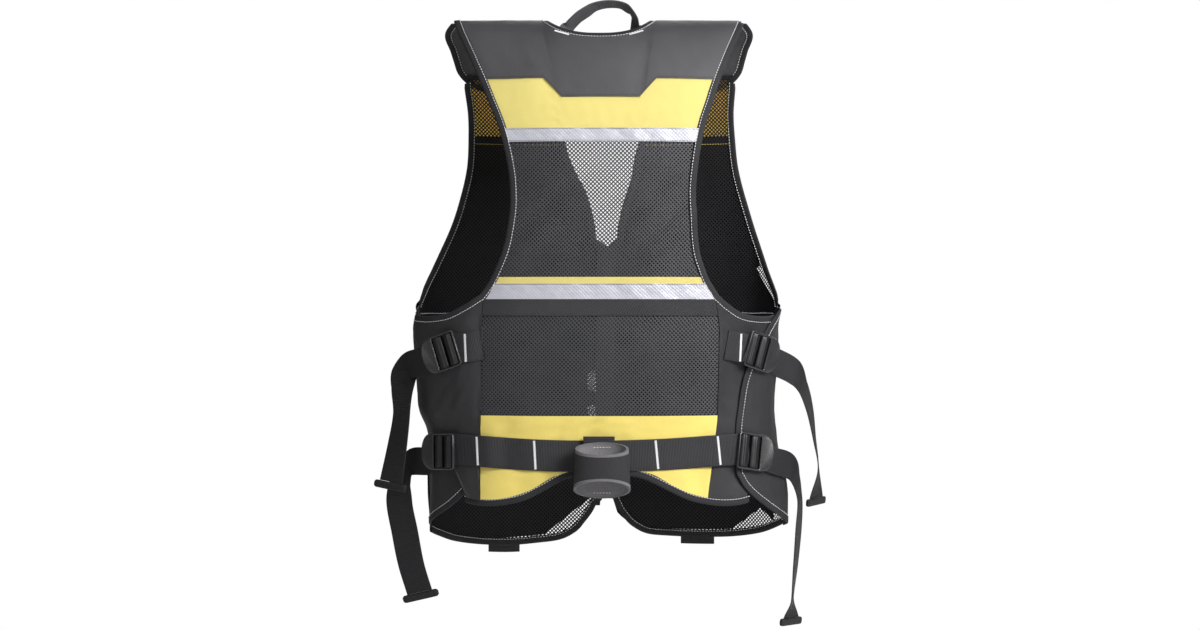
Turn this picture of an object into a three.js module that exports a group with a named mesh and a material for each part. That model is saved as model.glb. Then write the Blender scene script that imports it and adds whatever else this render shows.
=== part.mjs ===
// A utility work vest, shown as it is worn, with its back towards -Y and its front towards +Y.
// Millimetres, +Z up. The origin is the middle of the shoulder ridge, and heights are given as
// "down", the distance below that ridge. Cloth is modelled as thin closed walls along a body form.
import * as THREE from "three";

// Body form: half sizes of the rounded section that the cloth hangs around.
const HALF_WIDTH = 260;
const BACK_DEPTH = 120;
const FRONT_DEPTH = 115;
const CROWN_DROP = 210;
const SECTION_POWER = 2.4;
const CROWN_POWER = 2.2;
const HEM_DOWN = 700;

// Cloth walls, seams and the clearances between touching pieces.
const CLOTH = 1.6;
const NET = 1.2;
const PLY = 3.6;
const UNDERLAP = 1;
const SEAM_GAP = 0.4;
const SEAT_GAP = 0.35;
const BIND_WIDTH = 8;
const BIND_THICK = 3;
const BIND_GAP = 0.9;
const RIDGE_GAP = 0.3;

// Back panel heights.
const YOKE_DOWN = 93;
const YOKE_DIP = 27;
const SLANT_OUTER = 0.49;
const SLANT_INNER = 0.36;
const BAND_DOWN = 164;
const TAPE = 19;
const STRIPE_DOWN = 372;
const STRIPE = 9;
const WEBBING = 23;
const LUMBAR_DOWN = 566;

// Openings: neck, armholes and the front opening.
const NECK_HALF = 82;
const NECK_DIP = 30;
const NECK_SQUARE = 2.6;
const NECK_ROUND = 0.8;
const SHOULDER_HALF = 203;
const CAP_REACH = 222;
const ARMHOLE_DROP = 435;
const SEAM_HALF = 166;
const FRONT_ARMHOLE_HALF = 191;
const FRONT_ARMHOLE_DROP = 412;
const TONGUE_DOWN = 88;
const V_DROP = 320;
const FRONT_EDGE = 11;
const FRONT_HEM_DOWN = 755;
const HEM_TILT = 6;
const TONGUE_LAP = 14;
const CORNER_RISE = 50;

// Front cloth and closure.
const CHEST_DOWN = 164;
const POCKET_TOP = 170;
const POCKET_SPLIT = 335;
const POCKET_GAP = 8;
const POCKET_FLOOR = 722;
const POCKET_SIDE = 14;
const PUFF_RUN = 30;
const POCKET_BULGE = 5.6;
const CHEST_TOP = 100;
const PATCH_INSET = 1.5;
const ZIP_WIDTH = 28;
const ZIP_FLOOR = 690;
const ZIP_THICK = 2.4;

// Belt, buckles and straps.
const BELT_DOWN = 592;
const BELT_WIDTH = 44;
const BELT_SAG = 8;
const WEB_THICK = 1.8;
const HANDLE_WIDTH = 25;
const HANDLE_RISE = 23;
const HANDLE_HALF = 48;
const HANDLE_ROOT = 44;
const STRAP_WIDTH = 40;
const STRAP_THICK = 1.8;
const TAB_EXTRA = 8;
const TAB_TALL = 11;
const TAB_THICK = 6;
const LOCK_TALL = 52;
const LOCK_WIDE = 40;
const LOCK_THICK = 5;
const LOCK_BAR = 5;
const LOCK_MIDDLE = 8;
const LOCK_RAIL = 4;
const LOCK_TAB = 20;
const SLOT_CROWN = 1;
const LOCK_CORNER = 6;
const UPPER_LOCK_DOWN = 475;
const LOWER_LOCK_DOWN = 618;
const ANCHOR_LENGTH = 34;
const ANCHOR_SLOPE = 8;
const LOCK_LAP = 2.5;

// Hammer loop on the belt, with the keeper behind it, and the short webbing tabs under the hem.
const LOOP_WIDE = 74;
const LOOP_DEEP = 46;
const LOOP_WALL = 3.5;
const LOOP_REAR = 78;
const LOOP_FRONT = 36;
const LOOP_FLARE = 1.06;
const LOOP_SEAT = 2;
const LOOP_FRONT_SHARE = 0.42;
const LOOP_REAR_SHARE = 0.5;
const KEEPER_WIDTH = 44;
const KEEPER_THICK = 2;
const TAB_WEB = 44;
const TAB_PEEK = 9;
const TAB_FOLD = 4;
const TAB_SPREAD = 1.35;

// Colours.
const BLACK_CLOTH = { color: 0x17181a, roughness: 0.85, metalness: 0 };
const DARK_CLOTH = { color: 0x222326, roughness: 0.8, metalness: 0 };
const BLACK_NET = { color: 0x121314, roughness: 0.9, metalness: 0 };
const YELLOW_CLOTH = { color: 0xf0bd18, roughness: 0.8, metalness: 0 };
const REFLECTIVE = { color: 0xb9bcc4, roughness: 0.45, metalness: 0.1 };
const WEB_CLOTH = { color: 0x1b1c1e, roughness: 0.8, metalness: 0 };
const BUCKLE_PLASTIC = { color: 0x141416, roughness: 0.35, metalness: 0 };
const LOOP_HIDE = { color: 0x26272a, roughness: 0.7, metalness: 0 };

// Steps along shared edges, and the turn in degrees that parts two cloths at a side seam.
const FLOOR_STEPS = 8;
const ARMHOLE_STEPS = 9;
const YOKE_STEPS = 7;
const BACK_STEPS = 13;
const OPENING_STEPS = 17;
const HEM_STEPS = 12;
const NECK_STEPS = 16;
const FLAP_STEPS = 8;
const TONGUE_STEPS = 10;
const SEAM_TURN = 0.4;

// Turns in degrees over which a lapped cloth, and the belt above it, rise to their full lift.
const FLAP_LAP = { from: 82, to: 96 };
const STRIP_LAP = { from: 30, to: 38 };
const BELT_LAP = { from: 27, to: 36 };

// Heights over which the shoulder tongue rises clear of the front net, and how its rows crowd the ridge.
const TONGUE_LIFT = { from: 4, to: 34 };
const RIDGE_CROWD = 1.6;

const RIGHT = 1;
const LEFT = -1;

// Clearance of each anchor webbing's sewn end; the left strip bulges towards it as it rises over the flap.
const ANCHOR_SEAT = { [LEFT]: 0, [RIGHT]: SEAT_GAP };

// Section shift and width by height: rows of down share of HEM_DOWN, width share of HALF_WIDTH,
// depth share of the depths, and sideways shift share of HALF_WIDTH.
const SECTIONS = [
  { down: 0.0, width: 1.0, depth: 1.0, shift: -0.012 },
  { down: 0.38, width: 1.0, depth: 1.0, shift: 0.012 },
  { down: 0.56, width: 1.008, depth: 1.0, shift: -0.008 },
  { down: 0.64, width: 1.008, depth: 1.0, shift: -0.035 },
  { down: 0.79, width: 0.985, depth: 0.97, shift: -0.035 },
  { down: 0.86, width: 0.965, depth: 0.95, shift: 0.005 },
  { down: 0.99, width: 0.99, depth: 1.0, shift: 0.034 },
  { down: 1.08, width: 0.99, depth: 1.02, shift: 0.034 },
];

// Back armhole: rows of down share of ARMHOLE_DROP and half-width share of SHOULDER_HALF.
const BACK_ARMHOLE = [
  { down: 0.0, half: 1.0 },
  { down: 0.12, half: 0.882 },
  { down: 0.214, half: 0.796 },
  { down: 0.28, half: 0.744 },
  { down: 0.37, half: 0.675 },
  { down: 0.52, half: 0.611 },
  { down: 0.62, half: 0.603 },
  { down: 0.717, half: 0.621 },
  { down: 0.775, half: 0.643 },
  { down: 0.825, half: 0.68 },
  { down: 0.876, half: 0.729 },
  { down: 0.926, half: 0.798 },
];

// The armhole's floor under the arm: turn in degrees from the back centre, down share of ARMHOLE_DROP.
const ARMHOLE_FLOOR = [
  { turn: 40.5, down: 0.961 },
  { turn: 48.5, down: 0.989 },
  { turn: 58, down: 0.998 },
  { turn: 68, down: 0.998 },
  { turn: 76, down: 0.993 },
];

// Front armhole: down share of FRONT_ARMHOLE_DROP and half-width share of FRONT_ARMHOLE_HALF.
const FRONT_ARMHOLE = [
  { down: 0.214, half: 1.014 },
  { down: 0.303, half: 0.997 },
  { down: 0.393, half: 1.002 },
  { down: 0.51, half: 1.024 },
  { down: 0.631, half: 1.086 },
  { down: 0.76, half: 1.175 },
  { down: 0.867, half: 1.265 },
  { down: 0.932, half: 1.322 },
];

// Shoulder tongue: down share of TONGUE_DOWN and half-width share of CAP_REACH, ridge to rounded tip.
const TONGUE_EDGE = [
  { down: 0.0, half: 0.93 },
  { down: 0.17, half: 1.0 },
  { down: 0.4, half: 0.985 },
  { down: 0.57, half: 0.973 },
  { down: 0.74, half: 0.941 },
  { down: 0.88, half: 0.888 },
  { down: 0.97, half: 0.82 },
];

// Front opening: down share of V_DROP, half-gap as a share of NECK_HALF.
const V_EDGE = [
  { down: 0.0, half: 1.0 },
  { down: 0.19, half: 0.9 },
  { down: 0.375, half: 0.768 },
  { down: 0.52, half: 0.659 },
  { down: 0.594, half: 0.573 },
  { down: 0.681, half: 0.476 },
  { down: 0.75, half: 0.366 },
  { down: 0.844, half: 0.244 },
  { down: 0.922, half: 0.19 },
  { down: 1.0, half: 0.134 },
];

// Back hem: half-width share of SEAM_HALF and rise above HEM_DOWN as a share of NECK_HALF.
const BACK_HEM = [
  { half: 0.0, rise: 0.7 },
  { half: 0.24, rise: 0.7 },
  { half: 0.34, rise: 0.655 },
  { half: 0.45, rise: 0.55 },
  { half: 0.57, rise: 0.42 },
  { half: 0.735, rise: 0.27 },
  { half: 0.94, rise: 0.19 },
  { half: 1.09, rise: 0.19 },
  { half: 1.2, rise: 0.23 },
];

// Side flap's free edge: down share of HEM_DOWN and turn in degrees from the back centre.
const FLAP_EDGE = [
  { down: 0.595, turn: 84 },
  { down: 0.64, turn: 68 },
  { down: 0.717, turn: 55 },
  { down: 0.8, turn: 50.5 },
  { down: 0.84, turn: 47.5 },
  { down: 0.925, turn: 45 },
];
const FLAP_FLOOR = [
  { down: 0.951, turn: 48 },
  { down: 0.976, turn: 55 },
  { down: 0.998, turn: 65 },
  { down: 1.02, turn: 80 },
];
const FLAP_SIDE = 97;

// Outer edge of the back side strip, which lies over the flap on the left and under it on the right.
const STRIP_OUTER = {
  [LEFT]: [
    { down: 0.64, turn: 76 },
    { down: 0.7, turn: 66 },
    { down: 0.8, turn: 64 },
    { down: 0.87, turn: 61 },
    { down: 0.93, turn: 51 },
    { down: 0.972, turn: 46 },
  ],
  [RIGHT]: [
    { down: 0.64, turn: 77 },
    { down: 0.74, turn: 72 },
    { down: 0.85, turn: 64 },
    { down: 0.92, turn: 54 },
    { down: 0.972, turn: 46 },
  ],
};

// Front hem: turn in degrees from the back centre, drop as a share of CORNER_RISE below
// FRONT_HEM_DOWN less that rise.
const FRONT_HEM = [
  { turn: 97, drop: 0.5 },
  { turn: 108, drop: 0.76 },
  { turn: 122, drop: 0.9 },
  { turn: 138, drop: 1.0 },
  { turn: 152, drop: 1.02 },
  { turn: 160, drop: 0.97 },
  { turn: 167, drop: 0.76 },
  { turn: 172, drop: 0.4 },
  { turn: 174.5, drop: 0.02 },
];

// Buckles: the turn of each one's middle from the back centre, its lean in degrees outwards, and its
// spare lift over the webbing where the cloth is drawn in at the waist.
const LOCKS = {
  upper_left: { side: LEFT, spare: 0, turn: 48, lean: 20, down: UPPER_LOCK_DOWN },
  upper_right: { side: RIGHT, spare: 0, turn: 56, lean: 20, down: UPPER_LOCK_DOWN },
  lower_left: { side: LEFT, spare: UNDERLAP, turn: 57, lean: 2, down: LOWER_LOCK_DOWN },
  lower_right: { side: RIGHT, spare: UNDERLAP, turn: 50, lean: 11, down: LOWER_LOCK_DOWN },
};
// Steps of a strap's root round the side, as shares of its distance from the section's middle.
const STRAP_ROOT = [0.03, 0.11, 0.2, 0.3];

// Turn of each hem tab's middle from the back centre.
const HEM_TAB_TURN = { [LEFT]: 147, [RIGHT]: 152 };

// Free tails of the straps. Each row: out as a share of HALF_WIDTH, deep as a share of BACK_DEPTH,
// drop as a share of the tail's own drop, and the direction across the webbing.
const TAILS = {
  upper_left: {
    drop: 203,
    rows: [
      { out: 1.075, deep: -0.28, drop: 0.13, across: [0.2, 0.15, 0.96] },
      { out: 1.095, deep: -0.3, drop: 0.27, across: [0.7, 0.5, 0.45] },
      { out: 1.1, deep: -0.31, drop: 0.47, across: [0.66, 0.75, 0.1] },
      { out: 1.125, deep: -0.32, drop: 0.7, across: [0.75, 0.65, 0.1] },
      { out: 1.155, deep: -0.33, drop: 0.93, across: [0.85, 0.5, 0.15] },
    ],
  },
  upper_right: {
    drop: 228,
    rows: [
      { out: 1.07, deep: -0.2, drop: 0.142, across: [0.2, 0.3, 0.92] },
      { out: 1.12, deep: -0.13, drop: 0.235, across: [0.38, 0.87, 0.28] },
      { out: 1.16, deep: -0.09, drop: 0.378, across: [0.3, 0.94, 0.13] },
      { out: 1.19, deep: -0.05, drop: 0.578, across: [0.16, 0.985, 0.05] },
      { out: 1.21, deep: -0.03, drop: 0.735, across: [0.1, 0.99, 0] },
      { out: 1.2, deep: 0, drop: 0.94, across: [0.55, 0.83, 0.1] },
    ],
  },
  lower_left: {
    drop: 222,
    rows: [
      { out: 1.06, deep: -0.17, drop: 0.09, across: [-0.1, 0.2, 0.97] },
      { out: 1.11, deep: -0.09, drop: 0.2, across: [0.5, 0.45, 0.74] },
      { out: 1.123, deep: -0.06, drop: 0.34, across: [0.95, 0.25, 0.15] },
      { out: 1.092, deep: -0.05, drop: 0.547, across: [0.97, 0.2, 0.15] },
      { out: 1.058, deep: -0.03, drop: 0.756, across: [0.93, 0.2, 0.3] },
      { out: 1.012, deep: 0, drop: 0.94, across: [0.93, 0.2, 0.33] },
    ],
  },
  lower_right: {
    drop: 258,
    rows: [
      { out: 1.05, deep: -0.22, drop: 0.1, across: [0.35, 0.6, 0.7] },
      { out: 1.085, deep: -0.14, drop: 0.18, across: [0.29, 0.9, 0.3] },
      { out: 1.105, deep: -0.08, drop: 0.29, across: [0.24, 0.97, 0.03] },
      { out: 1.1, deep: -0.04, drop: 0.45, across: [0.29, 0.957, 0] },
      { out: 1.083, deep: -0.02, drop: 0.67, across: [0.24, 0.97, 0] },
      { out: 1.068, deep: 0, drop: 0.84, across: [0.15, 0.99, 0] },
      { out: 1.06, deep: 0, drop: 0.95, across: [0.6, 0.79, 0.1] },
    ],
  },
};

// Grab handle over the neck: half-span share of HANDLE_HALF, rise share of HANDLE_RISE, depth share
// of BACK_DEPTH, and the direction across the webbing, which turns edge-on over the top.
const HANDLE_ROWS = [
  { span: -1.0, rise: -0.65, deep: -0.27, across: [-0.55, -0.8, 0.25] },
  { span: -0.73, rise: -0.04, deep: -0.3, across: [-0.29, -0.88, 0.38] },
  { span: -0.42, rise: 0.39, deep: -0.345, across: [-0.28, -0.87, 0.41] },
  { span: -0.16, rise: 0.7, deep: -0.34, across: [-0.15, -0.93, 0.33] },
  { span: 0.18, rise: 0.85, deep: -0.34, across: [0, -0.95, 0.3] },
  { span: 0.55, rise: 0.81, deep: -0.34, across: [0.04, -0.97, 0.25] },
  { span: 0.76, rise: 0.61, deep: -0.345, across: [0.15, -0.95, 0.26] },
  { span: 0.93, rise: 0.28, deep: -0.345, across: [0.12, -0.98, 0.1] },
  { span: 1.02, rise: -0.1, deep: -0.3, across: [0.25, -0.96, 0] },
  { span: 1.02, rise: -0.6, deep: -0.255, across: [0.55, -0.83, 0] },
];

// Small numeric helpers.
const radians = THREE.MathUtils.degToRad;
const degrees = THREE.MathUtils.radToDeg;
const mix = THREE.MathUtils.lerp;
const ease = THREE.MathUtils.smoothstep;

// Value of one column of a table at a given down share, joined by straight lines.
function column(rows, share, name) {
  const last = rows.length - 1;
  let i = 0;
  while (i < last - 1 && rows[i + 1].down < share) i += 1;
  const t = THREE.MathUtils.clamp((share - rows[i].down) / (rows[i + 1].down - rows[i].down), 0, 1);
  return mix(rows[i][name], rows[i + 1][name], t * t * (3 - 2 * t));
}

// The section of the body form at a height below the ridge.
function section(down) {
  const share = down / HEM_DOWN;
  const crown = Math.min(down / CROWN_DROP, 1);
  const rounding = (1 - (1 - crown) ** CROWN_POWER) ** (1 / CROWN_POWER);
  const depth = column(SECTIONS, share, "depth") * rounding;
  return {
    half: HALF_WIDTH * column(SECTIONS, share, "width"),
    back: BACK_DEPTH * depth,
    front: FRONT_DEPTH * depth,
    shift: HALF_WIDTH * column(SECTIONS, share, "shift"),
  };
}

// A power that keeps the sign of its base.
function signedPower(value, power) {
  return Math.sign(value) * Math.abs(value) ** power;
}

// Point of the body form: turn in degrees, 0 at the back centre, 90 at the wearer's right side.
function formPoint(turn, down) {
  const s = section(Math.max(down, 0));
  const across = signedPower(Math.sin(radians(turn)), 2 / SECTION_POWER);
  const ahead = -signedPower(Math.cos(radians(turn)), 2 / SECTION_POWER);
  const depth = ahead < 0 ? s.back : s.front;
  const y = ahead < 0 ? Math.min(ahead * depth, -RIDGE_GAP) : Math.max(ahead * depth, RIDGE_GAP);
  return new THREE.Vector3(s.shift + s.half * across, y, -down);
}

// Outward normal of the body form, from its neighbours along the section and down it.
function formNormal(turn, down) {
  const low = Math.max(down, 0.4);
  const along = formPoint(turn + 0.5, low).sub(formPoint(turn - 0.5, low));
  const below = formPoint(turn, low + 0.4).sub(formPoint(turn, low - 0.4));
  const normal = along.cross(below).negate().normalize();
  return down < 0.4 ? normal.lerp(new THREE.Vector3(0, 0, 1), 0.9).normalize() : normal;
}

// The turn at a sideways distance from the section's middle, on the back or on the front.
function backTurn(half, down) {
  const share = Math.min(Math.abs(half) / section(down).half, 1);
  return Math.sign(half) * degrees(Math.asin(share ** (SECTION_POWER / 2)));
}
function frontTurn(half, down) {
  return Math.sign(half) * 180 - backTurn(half, down);
}

// A place on the form: its turn and down, kept as a plane vector so that curves can join them.
function place(turn, down) {
  return new THREE.Vector3(turn, down, 0);
}
function smooth(places) {
  return new THREE.CatmullRomCurve3(places, false, "centripetal");
}
function samples(curve, count) {
  return curve.getSpacedPoints(count);
}

// Part of a smooth curve between two heights, for curves that run down all the way.
function between(curve, from, to, count) {
  const find = (down) => {
    let low = 0;
    let high = 1;
    for (let i = 0; i < 24; i += 1) {
      const middle = (low + high) / 2;
      if (curve.getPoint(middle).y < down) low = middle;
      else high = middle;
    }
    return low;
  };
  const start = find(from);
  const end = find(to);
  return Array.from({ length: count + 1 }, (_, i) => curve.getPoint(mix(start, end, i / count)));
}

// The place of a curve at one height.
function pick(curve, down) {
  return between(curve, down, down + 0.01, 1)[0];
}

// The place of a curve at one turn, for curves whose turn grows all the way, whichever side they are on.
function crossing(curve, turn) {
  const sign = curve.getPoint(1).x < 0 ? -1 : 1;
  let low = 0;
  let high = 1;
  for (let i = 0; i < 24; i += 1) {
    const middle = (low + high) / 2;
    if (sign * curve.getPoint(middle).x < turn) low = middle;
    else high = middle;
  }
  return curve.getPoint(low);
}

// Straight run of places.
function line(from, to, count) {
  return Array.from({ length: count + 1 }, (_, i) => from.clone().lerp(to, i / count));
}

// Boundary curves that neighbouring panels share.
function backArmhole(side) {
  const places = BACK_ARMHOLE.map((row) => {
    const down = row.down * ARMHOLE_DROP;
    return place(backTurn(side * row.half * SHOULDER_HALF, down), down);
  });
  return smooth(places);
}
function backSeam(side) {
  const top = BACK_ARMHOLE.at(-1);
  const start = top.down * ARMHOLE_DROP;
  const places = [
    place(backTurn(side * top.half * SHOULDER_HALF, start), start),
    place(backTurn(side * SEAM_HALF, start + 2 * TAPE), start + 2 * TAPE),
    place(backTurn(side * SEAM_HALF, LUMBAR_DOWN), LUMBAR_DOWN),
    place(backTurn(side * (SEAM_HALF - BIND_WIDTH), HEM_DOWN), HEM_DOWN),
  ];
  return smooth(places);
}
function armholeFloor(side) {
  const top = BACK_ARMHOLE.at(-1);
  const start = top.down * ARMHOLE_DROP;
  const places = [
    place(backTurn(side * top.half * SHOULDER_HALF, start), start),
    ...ARMHOLE_FLOOR.map((row) => place(side * row.turn, row.down * ARMHOLE_DROP)),
  ];
  return smooth(places);
}
function frontArmhole(side) {
  const places = FRONT_ARMHOLE.map((row) => {
    const down = row.down * FRONT_ARMHOLE_DROP;
    return place(frontTurn(side * row.half * FRONT_ARMHOLE_HALF, down), down);
  });
  places.push(place(side * FLAP_SIDE, FRONT_ARMHOLE_DROP));
  return smooth(places);
}
function tongueEdge(side) {
  const places = TONGUE_EDGE.map((row) => {
    const down = row.down * TONGUE_DOWN;
    return place(frontTurn(side * row.half * CAP_REACH, down), down);
  });
  return smooth(places);
}
function frontOpening(side) {
  const places = V_EDGE.map((row) => {
    const down = row.down * V_DROP;
    const half = mix(FRONT_EDGE, NECK_HALF, (row.half - V_EDGE.at(-1).half) / (1 - V_EDGE.at(-1).half));
    return place(frontTurn(side * half, down), down);
  });
  const floor = frontHemTop(side);
  places.push(place(frontTurn(side * FRONT_EDGE, mix(V_DROP, floor, 0.5)), mix(V_DROP, floor, 0.5)));
  places.push(place(frontTurn(side * FRONT_EDGE, floor), floor));
  return smooth(places);
}
function backHem() {
  const half = BACK_HEM.map((row) => {
    const down = HEM_DOWN - row.rise * NECK_HALF;
    return place(backTurn(row.half * SEAM_HALF, down), down);
  });
  const mirrored = half.slice(1).reverse().map((p) => place(-p.x, p.y));
  return smooth([...mirrored, ...half]);
}
function hemDown(turn) {
  return crossing(backHem(), turn).y;
}
function frontHemTop(side) {
  return FRONT_HEM_DOWN - side * HEM_TILT - CORNER_RISE;
}
function frontHem(side) {
  const top = frontHemTop(side);
  return smooth(FRONT_HEM.map((row) => place(side * row.turn, top + row.drop * CORNER_RISE)));
}
function flapEdge(side) {
  return smooth(FLAP_EDGE.map((row) => place(side * row.turn, row.down * HEM_DOWN)));
}
function flapFloor(side) {
  const rows = [FLAP_EDGE.at(-1), ...FLAP_FLOOR, { down: 1.036, turn: FLAP_SIDE }];
  return smooth(rows.map((row) => place(side * row.turn, row.down * HEM_DOWN)));
}

// Coons patch between four rows of places: top and bottom run sideways, left and right run down.
function patch(top, bottom, left, right) {
  const columns = top.length - 1;
  const rows = left.length - 1;
  return Array.from({ length: rows + 1 }, (_, j) => {
    const v = j / rows;
    return Array.from({ length: columns + 1 }, (_, i) => {
      const u = i / columns;
      const ruled = top[i].clone().lerp(bottom[i], v);
      const across = left[j].clone().lerp(right[j], u);
      const first = top[0].clone().lerp(top[columns], u);
      const corners = first.lerp(bottom[0].clone().lerp(bottom[columns], u), v);
      return ruled.add(across).sub(corners);
    });
  });
}

// Closed solid between two grids of points that share their rows and columns.
function slab(outer, inner, closed = false) {
  const rows = outer.length;
  const columns = outer[0].length;
  const flat = [...outer.flat(), ...inner.flat()];
  const index = [];
  const at = (layer, j, i) => layer * rows * columns + j * columns + (i % columns);
  const quad = (a, b, c, d) => index.push(a, b, c, a, c, d);
  const wide = closed ? columns : columns - 1;
  for (let j = 0; j < rows - 1; j += 1) {
    for (let i = 0; i < wide; i += 1) {
      quad(at(0, j, i), at(0, j + 1, i), at(0, j + 1, i + 1), at(0, j, i + 1));
      quad(at(1, j, i), at(1, j, i + 1), at(1, j + 1, i + 1), at(1, j + 1, i));
    }
  }
  for (let i = 0; i < wide; i += 1) {
    quad(at(0, 0, i), at(0, 0, i + 1), at(1, 0, i + 1), at(1, 0, i));
    quad(at(1, rows - 1, i), at(1, rows - 1, i + 1), at(0, rows - 1, i + 1), at(0, rows - 1, i));
  }
  for (let j = 0; j < rows - 1 && !closed; j += 1) {
    quad(at(1, j, 0), at(1, j + 1, 0), at(0, j + 1, 0), at(0, j, 0));
    quad(at(0, j, wide), at(0, j + 1, wide), at(1, j + 1, wide), at(1, j, wide));
  }
  return outward(flat, index);
}

// Geometry whose faces point out, whichever way its grid ran.
function outward(points, index) {
  let volume = 0;
  for (let k = 0; k < index.length; k += 3) {
    const [a, b, c] = [points[index[k]], points[index[k + 1]], points[index[k + 2]]];
    volume += a.dot(b.clone().cross(c));
  }
  const turned = volume < 0 ? index.map((_, k) => index[k - (k % 3) + 2 - (k % 3)]) : index;
  const geometry = new THREE.BufferGeometry().setFromPoints(points);
  geometry.setIndex(turned);
  geometry.computeVertexNormals();
  return geometry;
}

// Cloth wall over a grid of places, lifted off the form by a number or a function of the place.
function cloth(grid, thickness, lift = 0) {
  const height = typeof lift === "function" ? lift : () => lift;
  const layer = (offset) =>
    grid.map((row) =>
      row.map((p) => formPoint(p.x, p.y).addScaledVector(formNormal(p.x, p.y), height(p) + offset)),
    );
  return slab(layer(thickness / 2), layer(-thickness / 2));
}

// Webbing along rows of centre points, each with the direction across it.
function ribbon(centres, acrosses, width, thickness) {
  const outer = [];
  const inner = [];
  centres.forEach((centre, k) => {
    const before = centres[Math.max(k - 1, 0)];
    const after = centres[Math.min(k + 1, centres.length - 1)];
    const along = after.clone().sub(before).normalize();
    const across = acrosses[k].clone().addScaledVector(along, -acrosses[k].dot(along)).normalize();
    const normal = along.clone().cross(across);
    const edge = (share, lift) =>
      centre
        .clone()
        .addScaledVector(across, share * width)
        .addScaledVector(normal, lift * thickness);
    outer.push([edge(-0.5, 0.5), edge(0.5, 0.5)]);
    inner.push([edge(-0.5, -0.5), edge(0.5, -0.5)]);
  });
  return slab(outer, inner);
}

// Binding beside an edge of the cloth: sideways tells which way it lies from the edge's run.
function binding(places, sideways, lift = 0) {
  const points = places.map((p) => formPoint(p.x, p.y));
  const normals = places.map((p) => formNormal(p.x, p.y));
  const acrosses = points.map((p, k) => {
    const after = points[Math.min(k + 1, points.length - 1)];
    const before = points[Math.max(k - 1, 0)];
    return after.clone().sub(before).cross(normals[k]).normalize().multiplyScalar(sideways);
  });
  const height = typeof lift === "function" ? lift : () => lift;
  const reach = BIND_GAP + BIND_WIDTH / 2;
  const layer = (offset) =>
    points.map((p, k) => {
      const centre = p.clone().addScaledVector(normals[k], height(places[k]) + offset);
      const near = centre.clone().addScaledVector(acrosses[k], reach - BIND_WIDTH / 2);
      const far = centre.addScaledVector(acrosses[k], reach + BIND_WIDTH / 2);
      return [near, far];
    });
  return slab(layer(BIND_THICK / 2), layer(-BIND_THICK / 2));
}

const vest = new THREE.Group();
function add(name, geometry, finish) {
  const mesh = new THREE.Mesh(geometry, new THREE.MeshStandardMaterial(finish));
  mesh.name = name;
  vest.add(mesh);
  return mesh;
}

// Back panel between two heights, from armhole to armhole, whose edges are shared with its neighbours.
function backPanel(name, finish, from, to, columns, rows, thickness) {
  const curve = (side, top, bottom) => {
    const split = BACK_ARMHOLE.at(-1).down * ARMHOLE_DROP;
    const edge = top >= split ? backSeam(side) : backArmhole(side);
    return between(edge, top, bottom, rows);
  };
  const top = from + SEAM_GAP / 2;
  const bottom = to - SEAM_GAP / 2;
  const left = curve(LEFT, top, bottom);
  const right = curve(RIGHT, top, bottom);
  const grid = patch(
    line(left[0], right[0], columns),
    line(left[rows], right[rows], columns),
    left,
    right,
  );
  return add(name, cloth(grid, thickness), finish);
}

// The yoke's lower edge: level at both sides, with a dip between two short slants.
function yokeFloor(columns, shift) {
  const left = pick(backArmhole(LEFT), YOKE_DOWN);
  const right = pick(backArmhole(RIGHT), YOKE_DOWN);
  return line(left, right, columns).map((p) => {
    const share = Math.abs(p.x) / right.x;
    const dip = 1 - THREE.MathUtils.clamp((share - SLANT_INNER) / (SLANT_OUTER - SLANT_INNER), 0, 1);
    return place(p.x, YOKE_DOWN + YOKE_DIP * dip + shift);
  });
}

// The neckline at the back: the ridge at both sides and a rounded dip between them.
function neckline(columns) {
  const places = [];
  for (let i = 0; i <= columns; i += 1) {
    const share = -1 + (2 * i) / columns;
    const down = NECK_DIP * Math.max(1 - Math.abs(share) ** NECK_SQUARE, 0) ** NECK_ROUND;
    places.push(place(backTurn(share * NECK_HALF, Math.max(down, 0.01)), down));
  }
  return places;
}

// Heights of the yoke's rows, closer together where the cloth bends over the ridge.
function yokeHeights() {
  const floor = YOKE_DOWN - SEAM_GAP / 2;
  return Array.from({ length: YOKE_STEPS + 1 }, (_, j) => floor * (j / YOKE_STEPS) ** 2);
}

// Dark yoke, cut in one piece over both shoulders.
function buildYoke() {
  const columns = NECK_STEPS + 8;
  const rows = YOKE_STEPS;
  const bend = (t) => t ** 2;
  const left = yokeHeights().map((down) => pick(backArmhole(LEFT), down));
  const right = yokeHeights().map((down) => pick(backArmhole(RIGHT), down));
  const shoulder = (columns - NECK_STEPS) / 2;
  const neck = neckline(NECK_STEPS);
  const top = [
    ...line(left[0], neck[0], shoulder).slice(0, -1),
    ...neck,
    ...line(neck.at(-1), right[0], shoulder).slice(1),
  ];
  const bottom = yokeFloor(columns, -SEAM_GAP / 2);
  const grid = left.map((edge, j) =>
    top.map((p, i) => {
      const share = bend(j / rows);
      const sideways = mix(p.x, bottom[i].x, j / rows);
      const turn = i === 0 ? edge.x : i === columns ? right[j].x : sideways;
      return place(turn, mix(p.y, bottom[i].y, share));
    }),
  );
  add("back_yoke", cloth(grid, CLOTH), DARK_CLOTH);
}

// Yellow band under the yoke, whose top follows the yoke's dip.
function buildBand() {
  const columns = NECK_STEPS + 8;
  const rows = 3;
  const left = between(backArmhole(LEFT), YOKE_DOWN + SEAM_GAP / 2, BAND_DOWN - SEAM_GAP / 2, rows);
  const right = between(backArmhole(RIGHT), YOKE_DOWN + SEAM_GAP / 2, BAND_DOWN - SEAM_GAP / 2, rows);
  const top = yokeFloor(columns, SEAM_GAP / 2);
  const bottom = line(left[rows], right[rows], columns);
  add("yellow_band_upper", cloth(patch(top, bottom, left, right), CLOTH), YELLOW_CLOTH);
}

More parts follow.
